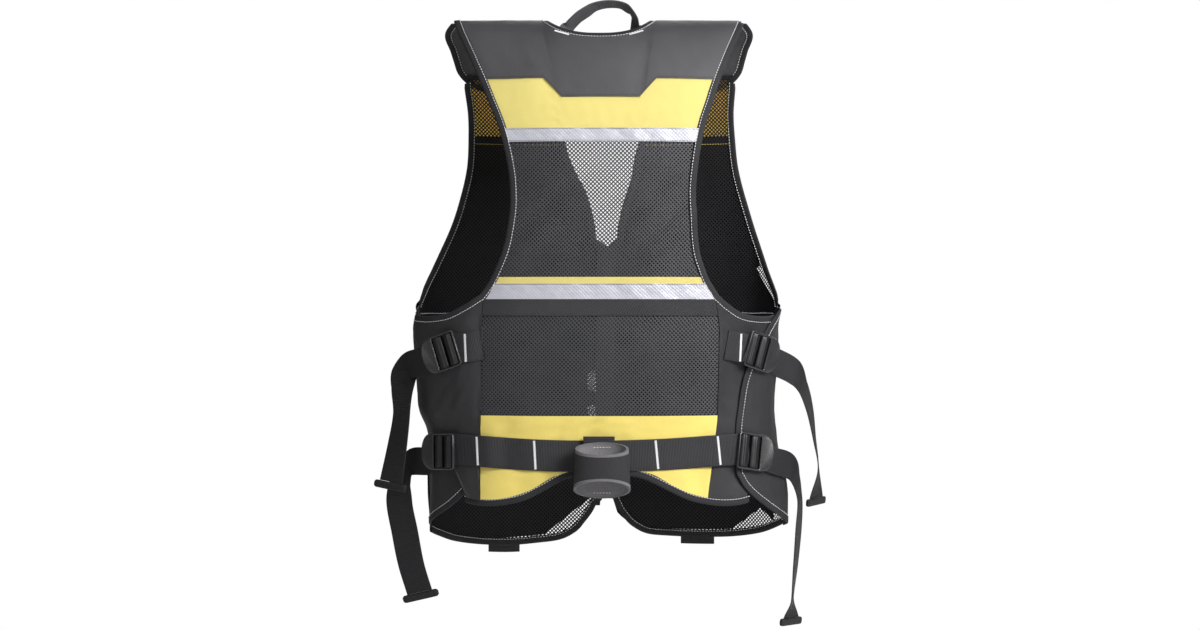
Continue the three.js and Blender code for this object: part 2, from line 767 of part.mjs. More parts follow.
// Straight back panels, each under the one before it.
function buildBackColumn() {
  const tapeFloor = BAND_DOWN + TAPE;
  const stripeFloor = STRIPE_DOWN + STRIPE;
  const split = BACK_ARMHOLE.at(-1).down * ARMHOLE_DROP;
  backPanel("reflective_upper", REFLECTIVE, BAND_DOWN, tapeFloor, 10, 1, CLOTH);
  backPanel("net_back_upper", BLACK_NET, tapeFloor, STRIPE_DOWN, 10, 8, NET);
  backPanel("yellow_stripe", YELLOW_CLOTH, STRIPE_DOWN, stripeFloor, 10, 1, CLOTH);
  backPanel("reflective_lower", REFLECTIVE, stripeFloor, split, 10, 2, CLOTH);
  backPanel("back_webbing", WEB_CLOTH, split, split + WEBBING, 12, 1, WEB_THICK);
  backPanel("net_back_lower", BLACK_NET, split + WEBBING, LUMBAR_DOWN, 10, 6, NET);
}

// Yellow lumbar cloth, down to the curved hem.
function buildLumbar() {
  const columns = 14;
  const rows = 5;
  const start = LUMBAR_DOWN + SEAM_GAP / 2;
  const edge = (side) => {
    const curve = backSeam(side);
    const corner = pick(curve, HEM_DOWN - TAPE);
    return between(curve, start, hemDown(corner.x), rows);
  };
  const left = edge(LEFT);
  const right = edge(RIGHT);
  const bottom = line(left[rows], right[rows], columns).map((p) => place(p.x, hemDown(p.x)));
  const top = line(left[0], right[0], columns);
  add("yellow_lumbar", cloth(patch(top, bottom, left, right), CLOTH), YELLOW_CLOTH);
}

// How far the cloth at the sides is lifted where one layer laps over the other.
function lapLift(upper) {
  return (p) => (upper ? PLY : -UNDERLAP) * (1 - ease(Math.abs(p.x), FLAP_LAP.from, FLAP_LAP.to));
}

// Strip of dark cloth beside the back column, from the armhole's floor to the hem.
function buildBackSide(side) {
  const rows = 8;
  const top = samples(armholeFloor(side), FLOOR_STEPS);
  const outerRows = STRIP_OUTER[side].map((row) => place(side * row.turn, row.down * HEM_DOWN));
  outerRows.at(-1).y = hemDown(outerRows.at(-1).x);
  const outer = samples(smooth([top[FLOOR_STEPS].clone(), ...outerRows]), rows);
  const corner = pick(backSeam(side), HEM_DOWN - TAPE);
  const inner = between(backSeam(side), top[0].y, hemDown(corner.x), rows);
  [top[0], ...inner].forEach((p) => {
    p.x += side * SEAM_TURN;
  });
  const bottom = line(inner[rows], outer[rows], FLOOR_STEPS).map((p) => place(p.x, hemDown(p.x)));
  const grid = patch(top, bottom, inner, outer);
  add("back_side_" + label(side), cloth(grid, CLOTH, stripLift(side)), DARK_CLOTH);
}
function stripLift(side) {
  return (p) => (side === LEFT ? PLY * ease(Math.abs(p.x), STRIP_LAP.from, STRIP_LAP.to) : 0);
}

// Side flap of the front, which wraps round the side towards the back.
function buildFlap(side) {
  const rows = FLAP_STEPS;
  const columns = FLAP_STEPS;
  const upper = side === RIGHT;
  const free = samples(flapEdge(side), rows);
  const floor = samples(flapFloor(side), columns);
  const seamTurn = side * (FLAP_SIDE - SEAM_TURN);
  floor[columns] = place(seamTurn, floor[columns].y);
  const top = line(free[0], place(seamTurn, FRONT_ARMHOLE_DROP), columns);
  const seam = line(top[columns], floor[columns], rows);
  add("front_side_" + label(side), cloth(patch(top, floor, free, seam), CLOTH, lapLift(upper)), DARK_CLOTH);
}

function label(side) {
  return side === LEFT ? "left" : "right";
}

// Front tongue of the shoulder, from the ridge to its rounded tip.
function buildShoulder(side) {
  const rows = TONGUE_STEPS;
  const columns = 5;
  const outer = tongueRun(side);
  const innerCurve = frontOpening(side);
  const inner = outer.map((_, j) => pick(innerCurve, TONGUE_DOWN * (j / rows) ** RIDGE_CROWD));
  const top = line(inner[0], outer[0], columns);
  const bottom = line(inner[rows], outer[rows], columns);
  add("shoulder_" + label(side), cloth(patch(top, bottom, inner, outer), CLOTH, tongueLift), DARK_CLOTH);
}

function tongueRun(side) {
  const last = TONGUE_EDGE.at(-1).down * TONGUE_DOWN;
  const shares = Array.from({ length: TONGUE_STEPS + 1 }, (_, j) => (j / TONGUE_STEPS) ** RIDGE_CROWD);
  return shares.map((share) => pick(tongueEdge(side), share * last));
}
function tongueLift(p) {
  return PLY * ease(p.y, TONGUE_LIFT.from, TONGUE_LIFT.to);
}

// Shared edges of a front panel: the armhole, the front opening and the hem.
function armholeRun(side) {
  return between(frontArmhole(side), TONGUE_DOWN - TONGUE_LAP, FRONT_ARMHOLE_DROP, ARMHOLE_STEPS);
}
function openingRun(side) {
  return between(frontOpening(side), TONGUE_DOWN - TONGUE_LAP, frontHemTop(side), OPENING_STEPS);
}
function hemRun(side) {
  const run = samples(frontHem(side), HEM_STEPS).reverse();
  run[0] = openingRun(side).at(-1);
  return run;
}

// Net base of one front panel, from the opening round to the side flap's seam.
function buildFrontNet(side) {
  const arm = armholeRun(side);
  const inner = openingRun(side);
  const hem = hemRun(side);
  const seam = line(arm.at(-1), hem.at(-1), OPENING_STEPS - ARMHOLE_STEPS);
  const outer = [...arm, ...seam.slice(1)];
  const top = line(inner[0], outer[0], HEM_STEPS);
  add("front_net_" + label(side), cloth(patch(top, hem, inner, outer), NET), BLACK_NET);
}

// Cloth patch on the outside of a front panel between two heights, kept clear of its edges.
function frontPatch(name, side, finish, from, to, rows) {
  const columns = 10;
  const armhole = frontArmhole(side);
  const opening = frontOpening(side);
  const inset = side * PATCH_INSET;
  const heights = Array.from({ length: rows + 1 }, (_, j) => mix(from, to, j / rows));
  const inner = heights.map((down) => place(pick(opening, down).x - inset, down));
  const outer = heights.map((down) => {
    const turn = down < FRONT_ARMHOLE_DROP ? pick(armhole, down).x : side * FLAP_SIDE;
    const full = turn + inset;
    const clear = side * Math.max(Math.abs(full), FLAP_SIDE + POCKET_SIDE);
    return place(down >= POCKET_SPLIT ? clear : full, down);
  });
  const top = line(inner[0], outer[0], columns);
  const bottom = line(inner[rows], outer[rows], columns);
  const seat = (CLOTH + NET) / 2 + SEAT_GAP;
  const puff = (p) => Math.min(ease(p.y, from, from + PUFF_RUN), 1 - ease(p.y, to - PUFF_RUN, to));
  const lift = (p) => mix(seat, POCKET_BULGE, puff(p));
  add(name, cloth(patch(top, bottom, inner, outer), CLOTH, lift), finish);
}

// Plain closure, sewn behind the two front edges.
function buildClosure() {
  const rows = 10;
  const lift = -(BIND_THICK + ZIP_THICK) / 2 - 2 * SEAT_GAP;
  const grid = Array.from({ length: rows + 1 }, (_, j) => {
    const down = mix(V_DROP + FRONT_EDGE, ZIP_FLOOR, j / rows);
    return line(
      place(frontTurn(ZIP_WIDTH / 2, down), down),
      place(360 + frontTurn(-ZIP_WIDTH / 2, down), down),
      1,
    );
  });
  add("front_zip", cloth(grid, ZIP_THICK, lift), BLACK_CLOTH);
}

// Bindings round the armholes, the neck, the hems and the front edges.
function buildBindings() {
  [LEFT, RIGHT].forEach((side) => {
    const name = label(side);
    const yoke = yokeHeights().slice(1).map((down) => pick(backArmhole(side), down));
    const split = BACK_ARMHOLE.at(-1).down * ARMHOLE_DROP;
    const upper = between(backArmhole(side), YOKE_DOWN, split, BACK_STEPS).slice(1);
    const back = [...yoke, ...upper, ...samples(armholeFloor(side), FLOOR_STEPS).slice(1)];
    add("back_armhole_binding_" + name, binding(back, -side, stripLift(side)), BLACK_CLOTH);
    add("front_armhole_binding_" + name, binding(armholeRun(side).slice(1), side), BLACK_CLOTH);
    const edge = [...openingRun(side).slice(1), ...hemRun(side).slice(1)];
    add("front_edge_binding_" + name, binding(edge, -side), BLACK_CLOTH);
    const free = samples(flapEdge(side), FLAP_STEPS).slice(1);
    const floor = samples(flapFloor(side), FLAP_STEPS).slice(1, -1);
    const lapped = binding([...free, ...floor], side, lapLift(side === RIGHT));
    add("flap_binding_" + name, lapped, BLACK_CLOTH);
    const tongue = tongueRun(side).slice(1);
    add("shoulder_binding_" + name, binding(tongue, side, tongueLift), BLACK_CLOTH);
  });
  add("neck_binding", binding(neckline(NECK_STEPS).slice(1, -1), -1), BLACK_CLOTH);
  add("back_hem_binding", binding(samples(backHem(), 28), 1), BLACK_CLOTH);
}

// Lift of the belt: close to the net in the middle, over the lapped layers at the sides.
const WEB_LIFT = PLY + UNDERLAP + (BIND_THICK + WEB_THICK) / 2 + SEAT_GAP;
function beltLift(p) {
  const seat = (BIND_THICK + WEB_THICK) / 2 + SEAT_GAP;
  return mix(seat, WEB_LIFT, ease(Math.abs(p.x), BELT_LAP.from, BELT_LAP.to));
}

// Waist belt, which runs under the inner bar of each lower buckle.
function buildBelt() {
  const columns = 28;
  const ends = { left: LOCKS.lower_left.turn - LOCK_LAP, right: LOCKS.lower_right.turn - LOCK_LAP };
  const rows = [0, 1].map((share) =>
    Array.from({ length: columns + 1 }, (_, i) => {
      const turn = mix(-ends.left, ends.right, i / columns);
      const sag = BELT_SAG * Math.sin((i / columns) * Math.PI) ** 2;
      return place(turn, BELT_DOWN + sag + share * BELT_WIDTH);
    }),
  );
  add("waist_belt", cloth(rows, WEB_THICK, beltLift), WEB_CLOTH);
}

// Short anchor webbing from the side seam to the upper buckle.
function buildAnchor(side) {
  const span = LOCK_TALL - 2 * LOCK_RAIL;
  const lock = LOCKS["upper_" + label(side)];
  const reach = 2 * degrees(ANCHOR_LENGTH / HALF_WIDTH);
  const steps = 4;
  const rows = [-0.5, 0.5].map((share) =>
    Array.from({ length: steps + 1 }, (_, i) => {
      const turn = lock.turn - mix(reach, LOCK_LAP, i / steps);
      return place(side * turn, lock.down - ANCHOR_SLOPE * (1 - i / steps) + share * (span - LOCK_RAIL / 2));
    }),
  );
  const sewn = (CLOTH + WEB_THICK) / 2 + ANCHOR_SEAT[side];
  const start = lock.turn - reach;
  const rise = (p) => ease(Math.abs(p.x), start, start + reach / 2);
  const lift = (p) => mix(stripLift(side)(p) + sewn, WEB_LIFT, rise(p));
  add("anchor_strap_" + label(side), cloth(rows, WEB_THICK, lift), WEB_CLOTH);
}

// Ladder lock: a frame with two slots and a rounded lifting tab on its outer side.
function lockShape(side) {
  const x = LOCK_WIDE / 2;
  const y = LOCK_TALL / 2;
  const r = LOCK_CORNER;
  const outline = new THREE.Shape();
  outline.moveTo(-side * x, -y + r);
  outline.quadraticCurveTo(-side * x, -y, -side * (x - r), -y);
  outline.lineTo(side * x, -y);
  outline.bezierCurveTo(side * (x + LOCK_TAB), -y * 0.75, side * (x + LOCK_TAB), y * 0.75, side * x, y);
  outline.lineTo(-side * (x - r), y);
  outline.quadraticCurveTo(-side * x, y, -side * x, y - r);
  const slot = (from, to) => {
    const hole = new THREE.Path();
    const end = y - LOCK_RAIL - SLOT_CROWN;
    const middle = (side * (from + to)) / 2;
    hole.moveTo(side * from, -end);
    hole.lineTo(side * from, end);
    hole.quadraticCurveTo(middle, end + 2 * SLOT_CROWN, side * to, end);
    hole.lineTo(side * to, -end);
    hole.quadraticCurveTo(middle, -end - 2 * SLOT_CROWN, side * from, -end);
    outline.holes.push(hole);
  };
  slot(-x + LOCK_BAR, -LOCK_MIDDLE / 2);
  slot(LOCK_MIDDLE / 2, x - LOCK_BAR);
  return outline;
}

function buildLock(name, lock) {
  const { side } = lock;
  const geometry = new THREE.ExtrudeGeometry(lockShape(side), {
    depth: LOCK_THICK,
    bevelEnabled: false,
    curveSegments: 5,
  });
  geometry.deleteAttribute("uv");
  const mesh = add(name, geometry, BUCKLE_PLASTIC);
  const normal = formNormal(side * lock.turn, lock.down);
  const lean = radians(lock.lean);
  const up = new THREE.Vector3(side * Math.sin(lean), 0, Math.cos(lean));
  up.addScaledVector(normal, -up.dot(normal)).normalize();
  const across = up.clone().cross(normal);
  const seat = WEB_LIFT + STRAP_THICK / 2 + lock.spare + SEAT_GAP;
  mesh.matrix.makeBasis(across, up, normal);
  mesh.matrix.setPosition(formPoint(side * lock.turn, lock.down).addScaledVector(normal, seat));
  mesh.matrixAutoUpdate = false;
}

// Adjusting strap: from under the buckle's middle bar round the side, then hanging free.
function buildStrap(name, tail) {
  const lock = LOCKS[name];
  const { side } = lock;
  const centres = [];
  const acrosses = [];
  const lean = radians(lock.lean);
  STRAP_ROOT.forEach((step) => {
    const turn = side * (lock.turn + degrees(step));
    const down = lock.down + step * LOCK_TALL;
    const normal = formNormal(turn, down);
    centres.push(formPoint(turn, down).addScaledVector(normal, WEB_LIFT));
    const up = new THREE.Vector3(side * Math.sin(lean), 0, Math.cos(lean));
    acrosses.push(up.addScaledVector(normal, -up.dot(normal)).normalize());
  });
  tail.rows.forEach((row) => {
    const down = lock.down + row.drop * tail.drop;
    centres.push(new THREE.Vector3(side * row.out * HALF_WIDTH, row.deep * BACK_DEPTH, -down));
    acrosses.push(new THREE.Vector3(side * row.across[0], row.across[1], row.across[2]));
  });
  const count = 20;
  const path = new THREE.CatmullRomCurve3(centres, false, "centripetal");
  const lay = new THREE.CatmullRomCurve3(acrosses, false, "centripetal");
  const run = [];
  const faces = [];
  for (let i = 0; i <= count; i += 1) {
    run.push(path.getPoint(i / count));
    faces.push(lay.getPoint(i / count));
  }
  add("adjust_strap_" + name, ribbon(run, faces, STRAP_WIDTH, STRAP_THICK), WEB_CLOTH);
  const along = run[count].clone().sub(run[count - 1]).normalize();
  const start = run[count].clone().addScaledVector(along, SEAM_GAP);
  const end = start.clone().addScaledVector(along, TAB_TALL);
  const width = STRAP_WIDTH + 2 * TAB_EXTRA;
  const across = [faces[count], faces[count]];
  add("strap_end_" + name, ribbon([start, end], across, width, TAB_THICK), WEB_CLOTH);
}

// Grab handle at the neck, sewn inside the yoke at both ends.
function buildHandle() {
  const lift = -(BIND_THICK + WEB_THICK) / 2 - 2 * SEAT_GAP;
  const root = (side) =>
    [1, 0.8].map((share) => {
      const down = HANDLE_ROOT * share;
      const turn = backTurn(side * HANDLE_HALF, down);
      const point = formPoint(turn, down).addScaledVector(formNormal(turn, down), lift);
      const across = formPoint(turn + side, down).sub(formPoint(turn - side, down)).normalize();
      return { point, across };
    });
  const free = HANDLE_ROWS.map((row) => ({
    point: new THREE.Vector3(row.span * HANDLE_HALF, row.deep * BACK_DEPTH, row.rise * HANDLE_RISE),
    across: new THREE.Vector3(...row.across),
  }));
  const rows = [...root(LEFT), ...free, ...root(RIGHT).reverse()];
  const path = smooth(rows.map((row) => row.point));
  const lay = smooth(rows.map((row) => row.across));
  const count = 26;
  const run = Array.from({ length: count + 1 }, (_, i) => path.getPoint(i / count));
  const faces = Array.from({ length: count + 1 }, (_, i) => lay.getPoint(i / count));
  add("grab_handle", ribbon(run, faces, HANDLE_WIDTH, WEB_THICK), WEB_CLOTH);
}

// Keeper behind the hammer loop, hanging on the belt's outer face.
function buildKeeper() {
  const lift = BIND_THICK / 2 + WEB_THICK + KEEPER_THICK / 2 + 2 * SEAT_GAP;
  const top = BELT_DOWN + LOOP_SEAT;
  const bottom = top + LOOP_REAR + BELT_SAG;
  const rows = Array.from({ length: 5 }, (_, j) => {
    const down = mix(top, bottom, j / 4);
    return line(
      place(backTurn(-KEEPER_WIDTH / 2, down), down),
      place(backTurn(KEEPER_WIDTH / 2, down), down),
      4,
    );
  });
  const fullest = Math.max(section(BELT_DOWN).back, section(BELT_DOWN + BELT_SAG + BELT_WIDTH).back);
  const back = -fullest - lift;
  const flat = (offset) => rows.map((row) => row.map((p) => formPoint(p.x, p.y).setY(back + offset)));
  add("hammer_keeper", slab(flat(-KEEPER_THICK / 2), flat(KEEPER_THICK / 2)), LOOP_HIDE);
  return back - KEEPER_THICK / 2;
}

// Hammer loop: a short oval tube with a low front edge, seated on the keeper.
function buildLoop(seat) {
  const columns = 24;
  const middle = seat - SEAT_GAP - LOOP_DEEP / 2;
  const top = BELT_DOWN + BELT_SAG + LOOP_SEAT;
  const shift = section(top).shift;
  const ring = (wall) =>
    [0, 0.5, 1].map((share) =>
      Array.from({ length: columns }, (_, i) => {
        const angle = (i / columns) * 2 * Math.PI;
        const flare = mix(1, LOOP_FLARE, share);
        const rear = (1 + Math.sin(angle)) / 2;
        const tall = mix(LOOP_FRONT, LOOP_REAR, rear);
        const centre = top + LOOP_REAR * mix(LOOP_FRONT_SHARE, LOOP_REAR_SHARE, rear);
        return new THREE.Vector3(
          shift + (LOOP_WIDE / 2 - wall) * flare * Math.cos(angle),
          middle + (LOOP_DEEP / 2 - wall) * Math.sin(angle),
          -(centre + (share - 0.5) * tall),
        );
      }),
    );
  add("hammer_loop", slab(ring(0), ring(LOOP_WALL), true), LOOP_HIDE);
}

// Short folded webbing tabs that peek out under the front hem.
function buildHemTab(side) {
  const hem = frontHem(side);
  const below = BIND_GAP + BIND_WIDTH + SEAT_GAP;
  const half = degrees(TAB_WEB / 2 / HALF_WIDTH) * TAB_SPREAD;
  const turns = [-1, -0.5, 0, 0.5, 1].map((share) => HEM_TAB_TURN[side] + share * half);
  const rows = [0, 1].map((share) =>
    turns.map((turn) => place(side * turn, crossing(hem, turn).y + below + share * TAB_PEEK)),
  );
  add("hem_tab_" + label(side), cloth(rows, TAB_FOLD), WEB_CLOTH);
}

buildYoke();
buildBand();
buildBackColumn();
buildLumbar();
[LEFT, RIGHT].forEach((side) => {
  buildBackSide(side);
  buildFlap(side);
  buildShoulder(side);
  buildFrontNet(side);
  const name = label(side);
  const upperFloor = POCKET_SPLIT - POCKET_GAP;
  const lowerFloor = POCKET_FLOOR - CORNER_RISE;
  frontPatch("front_chest_" + name, side, YELLOW_CLOTH, CHEST_TOP, CHEST_DOWN, 4);
  frontPatch("front_pocket_upper_" + name, side, DARK_CLOTH, POCKET_TOP, upperFloor, 7);
  frontPatch("front_pocket_lower_" + name, side, DARK_CLOTH, POCKET_SPLIT, lowerFloor, 10);
  buildAnchor(side);
  buildHemTab(side);
});
buildClosure();
buildBindings();
buildBelt();
Object.entries(LOCKS).forEach(([name, lock]) => buildLock("lock_" + name, lock));
Object.entries(TAILS).forEach(([name, tail]) => buildStrap(name, tail));
buildHandle();
buildLoop(buildKeeper());

export default vest;
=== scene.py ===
"""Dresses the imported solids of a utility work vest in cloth, netting, webbing and moulded plastic.

The vest is shown as it is worn, with its back towards -Y. All cloth hangs on one body form, whose places
are given as a turn in degrees round the trunk (0 at the back centre, 90 at the wearer's right) and a
distance in millimetres down from the shoulder ridge. Meshes are scaled to metres when they are made.
"""

import logging
import math
from collections.abc import Callable, Sequence
from dataclasses import dataclass, field
from enum import Enum
import bpy
import numpy as np
from mathutils import Matrix, Vector


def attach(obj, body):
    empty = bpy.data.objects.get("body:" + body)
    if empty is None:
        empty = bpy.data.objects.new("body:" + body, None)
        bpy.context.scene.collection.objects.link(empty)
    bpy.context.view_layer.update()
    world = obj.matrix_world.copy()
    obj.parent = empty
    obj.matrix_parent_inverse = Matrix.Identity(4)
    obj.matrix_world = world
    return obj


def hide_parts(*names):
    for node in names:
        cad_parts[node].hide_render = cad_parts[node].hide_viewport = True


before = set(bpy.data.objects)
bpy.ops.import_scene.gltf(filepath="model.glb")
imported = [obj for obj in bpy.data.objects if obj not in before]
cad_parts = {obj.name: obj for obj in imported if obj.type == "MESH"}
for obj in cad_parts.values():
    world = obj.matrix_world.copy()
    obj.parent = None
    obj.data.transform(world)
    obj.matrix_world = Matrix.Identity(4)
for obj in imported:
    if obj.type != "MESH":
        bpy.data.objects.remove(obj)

LOG = logging.getLogger("vest")
Array = np.ndarray
Relief = Callable[[Array, Array], Array]
MM = 0.001
LEFT = -1
RIGHT = 1
SIDES = {LEFT: "left", RIGHT: "right"}
UP = np.array((0.0, 0.0, 1.0))
AIM = (0.0, 0.0, -0.35)

# Body form by height: down share of the hem's height, then shares of width and depth, and sideways shift.
SECTIONS = (
    (0.0, 1.0, 1.0, -0.012),
    (0.38, 1.0, 1.0, 0.012),
    (0.56, 1.008, 1.0, -0.008),
    (0.64, 1.008, 1.0, -0.035),
    (0.79, 0.985, 0.97, -0.035),
    (0.86, 0.965, 0.95, 0.005),
    (0.99, 0.99, 1.0, 0.034),
    (1.08, 0.99, 1.02, 0.034),
)

# Cut edges as rows of (down share, half-width share) or (down share, turn).
BACK_ARMHOLE = (
    (0.0, 1.0), (0.12, 0.882), (0.214, 0.796), (0.28, 0.744), (0.37, 0.675), (0.52, 0.611),
    (0.62, 0.603), (0.717, 0.621), (0.775, 0.643), (0.825, 0.68), (0.876, 0.729), (0.926, 0.798),
)
ARMHOLE_FLOOR = ((0.961, 40.5), (0.989, 48.5), (0.998, 58.0), (0.998, 68.0), (0.993, 76.0))
FRONT_ARMHOLE = (
    (0.214, 1.014), (0.303, 0.997), (0.393, 1.002), (0.51, 1.024),
    (0.631, 1.086), (0.76, 1.175), (0.867, 1.265), (0.932, 1.322),
)
TONGUE_EDGE = (
    (0.0, 0.93), (0.17, 0.98), (0.4, 0.95), (0.57, 0.93), (0.74, 0.908), (0.88, 0.855), (0.97, 0.785),
    (1.0, 0.7)
)
V_EDGE = (
    (0.0, 1.0), (0.19, 0.94), (0.375, 0.86), (0.519, 0.768), (0.594, 0.69), (0.684, 0.585),
    (0.75, 0.475), (0.828, 0.378), (0.922, 0.3), (0.965, 0.285), (0.99, 0.25), (1.008, 0.134),
)
BACK_HEM = (
    (0.0, 0.7), (0.24, 0.7), (0.34, 0.655), (0.45, 0.55), (0.57, 0.42),
    (0.735, 0.27), (0.94, 0.19), (1.09, 0.19), (1.2, 0.23),
)
FLAP_EDGE = ((0.595, 84.0), (0.64, 68.0), (0.717, 55.0), (0.8, 50.5), (0.84, 47.5), (0.925, 45.0))
FLAP_FLOOR = ((0.951, 48.0), (0.976, 55.0), (0.998, 65.0), (1.02, 80.0), (1.036, 97.0))
# The lumbar cloth's side seams as (sideways place, down) in millimetres; the right one leans in.
SEAM_PLACES = {
    LEFT: (
        (-166.5, 441.0), (-166.8, 470.0), (-167.0, 500.0), (-167.8, 535.0), (-168.5, 566.0),
        (-168.7, 590.0), (-169.0, 615.0), (-169.0, 640.0), (-169.0, 670.0), (-169.0, 700.0),
    ),
    RIGHT: (
        (165.0, 441.0), (164.8, 470.0), (164.5, 500.0), (163.8, 535.0), (163.0, 566.0),
        (160.5, 590.0), (157.5, 615.0), (154.5, 640.0), (150.5, 670.0), (146.0, 700.0),
    ),
}
STRIP_OUTER = {
    LEFT: ((0.64, 76.0), (0.7, 66.0), (0.8, 64.0), (0.87, 61.0), (0.93, 51.0), (0.972, 46.0)),
    RIGHT: ((0.64, 77.0), (0.74, 72.0), (0.85, 64.0), (0.92, 54.0), (0.972, 46.0)),
}
FRONT_HEM = ((97.0, 0.46), (108.0, 0.61), (122.0, 0.83), (138.0, 0.98), (152.0, 1.02))
# The middle of the front opening as (down, sideways place) in millimetres.
OPENING_MIDDLE = ((0.0, 1.5), (190.0, 1.5), (236.0, 8.0), (320.0, 8.5), (520.0, 6.5), (705.0, 5.0))
# The rounded corner of each front as (millimetres from the opening's middle, share of the corner's rise).
HEM_CORNER = {
    LEFT: ((98.0, 0.98), (66.0, 0.9), (44.0, 0.7), (30.0, 0.4), (19.5, 0.12), (14.5, -0.08)),
    RIGHT: ((100.0, 1.0), (74.0, 0.96), (53.0, 0.77), (36.5, 0.42), (28.0, 0.12), (23.5, -0.08)),
}


def unit(vectors: Array) -> Array:
    """Returns vectors of length one."""
    return vectors / np.maximum(np.linalg.norm(vectors, axis=-1, keepdims=True), 1e-12)


def mix(a: Array, b: Array, share: Array) -> Array:
    """Returns the blend of two values."""
    return a + (b - a) * share


def run_along(points: Array) -> Array:
    """Returns how far along a path each of its points lies."""
    return np.concatenate([[0], np.linalg.norm(np.diff(points, axis=0), axis=1).cumsum()])


def ease(value: Array, start: float, end: float) -> Array:
    """Returns 0 before start, 1 after end, and a smooth rise between them."""
    t = np.clip((np.asarray(value, float) - start) / (end - start), 0, 1)
    return t * t * (3 - 2 * t)


def ripples(u: Array, v: Array, size: float, seed: int, stretch: float = 1.0, count: int = 7) -> Array:
    """Sums seeded waves into a soft random relief.

    Args:
        u: Distances across the cloth, in millimetres.
        v: Distances down the cloth, in millimetres.
        size: Typical length of a wave, in millimetres.
        seed: Seed of the waves' directions and phases.
        stretch: How many times longer the waves are down the cloth than across it.
        count: Number of waves.

    Returns:
        Heights between about -1 and 1.
    """
    draw = np.random.default_rng(seed)
    total = np.zeros(np.broadcast(u, v).shape)
    for _ in range(count):
        turn, phase, scale = draw.uniform(0, math.tau), draw.uniform(0, math.tau), draw.uniform(0.6, 1.5)
        wave = math.tau / (size * scale)
        total = total + np.sin((u * math.cos(turn) + v * math.sin(turn) / stretch) * wave + phase)
    return total / math.sqrt(count) * 0.7


class Curve:
    """A smooth line through rows of points, with centripetal spacing."""

    def __init__(self, rows: Sequence[Sequence[float]]) -> None:
        """Keeps the rows that the line passes through."""
        self.rows = np.asarray(rows, float)

    def at(self, share: Array) -> Array:
        """Returns the points at shares from 0 to 1 of the line."""
        rows = self.rows
        x = np.clip(np.asarray(share, float), 0, 1) * (len(rows) - 1)
        i = np.minimum(x.astype(int), len(rows) - 2)
        w = (x - i)[..., None]
        padded = np.vstack([2 * rows[0] - rows[1], rows, 2 * rows[-1] - rows[-2]])
        p0, p1, p2, p3 = (padded[i + k] for k in range(4))
        pairs = ((p0, p1), (p1, p2), (p2, p3))
        step = [np.maximum(((b - a) ** 2).sum(-1, keepdims=True) ** 0.25, 1e-4) for a, b in pairs]
        first = ((p1 - p0) / step[0] - (p2 - p0) / (step[0] + step[1]) + (p2 - p1) / step[1]) * step[1]
        last = ((p2 - p1) / step[1] - (p3 - p1) / (step[1] + step[2]) + (p3 - p2) / step[2]) * step[1]
        square = -3 * p1 + 3 * p2 - 2 * first - last
        cube = 2 * p1 - 2 * p2 + first + last
        return p1 + first * w + square * w**2 + cube * w**3

    def where(self, value: Array, axis: int) -> Array:
        """Returns the shares at which one coordinate, which grows along the line, reaches the value."""
        value = np.asarray(value, float)
        sign = -1.0 if self.rows[-1, axis] < self.rows[0, axis] else 1.0
        low, high = np.zeros(value.shape), np.ones(value.shape)
        for _ in range(30):
            middle = (low + high) / 2
            under = sign * self.at(middle)[..., axis] < sign * value
            low, high = np.where(under, middle, low), np.where(under, high, middle)
        return (low + high) / 2

    def turn_at(self, down: Array) -> Array:
        """Returns the turn where the line is at that height."""
        return self.at(self.where(down, 1))[..., 0]

    def down_at(self, turn: Array) -> Array:
        """Returns the height where the line is at that turn."""
        return self.at(self.where(turn, 0))[..., 1]

    def spaced(self, count: int) -> Array:
        """Returns count + 1 points, evenly far apart along the line."""
        fine = self.at(np.linspace(0, 1, 600))
        reach = run_along(fine)
        wanted = np.linspace(0, reach[-1], count + 1)
        return np.stack([np.interp(wanted, reach, fine[:, k]) for k in range(fine.shape[1])], axis=1)


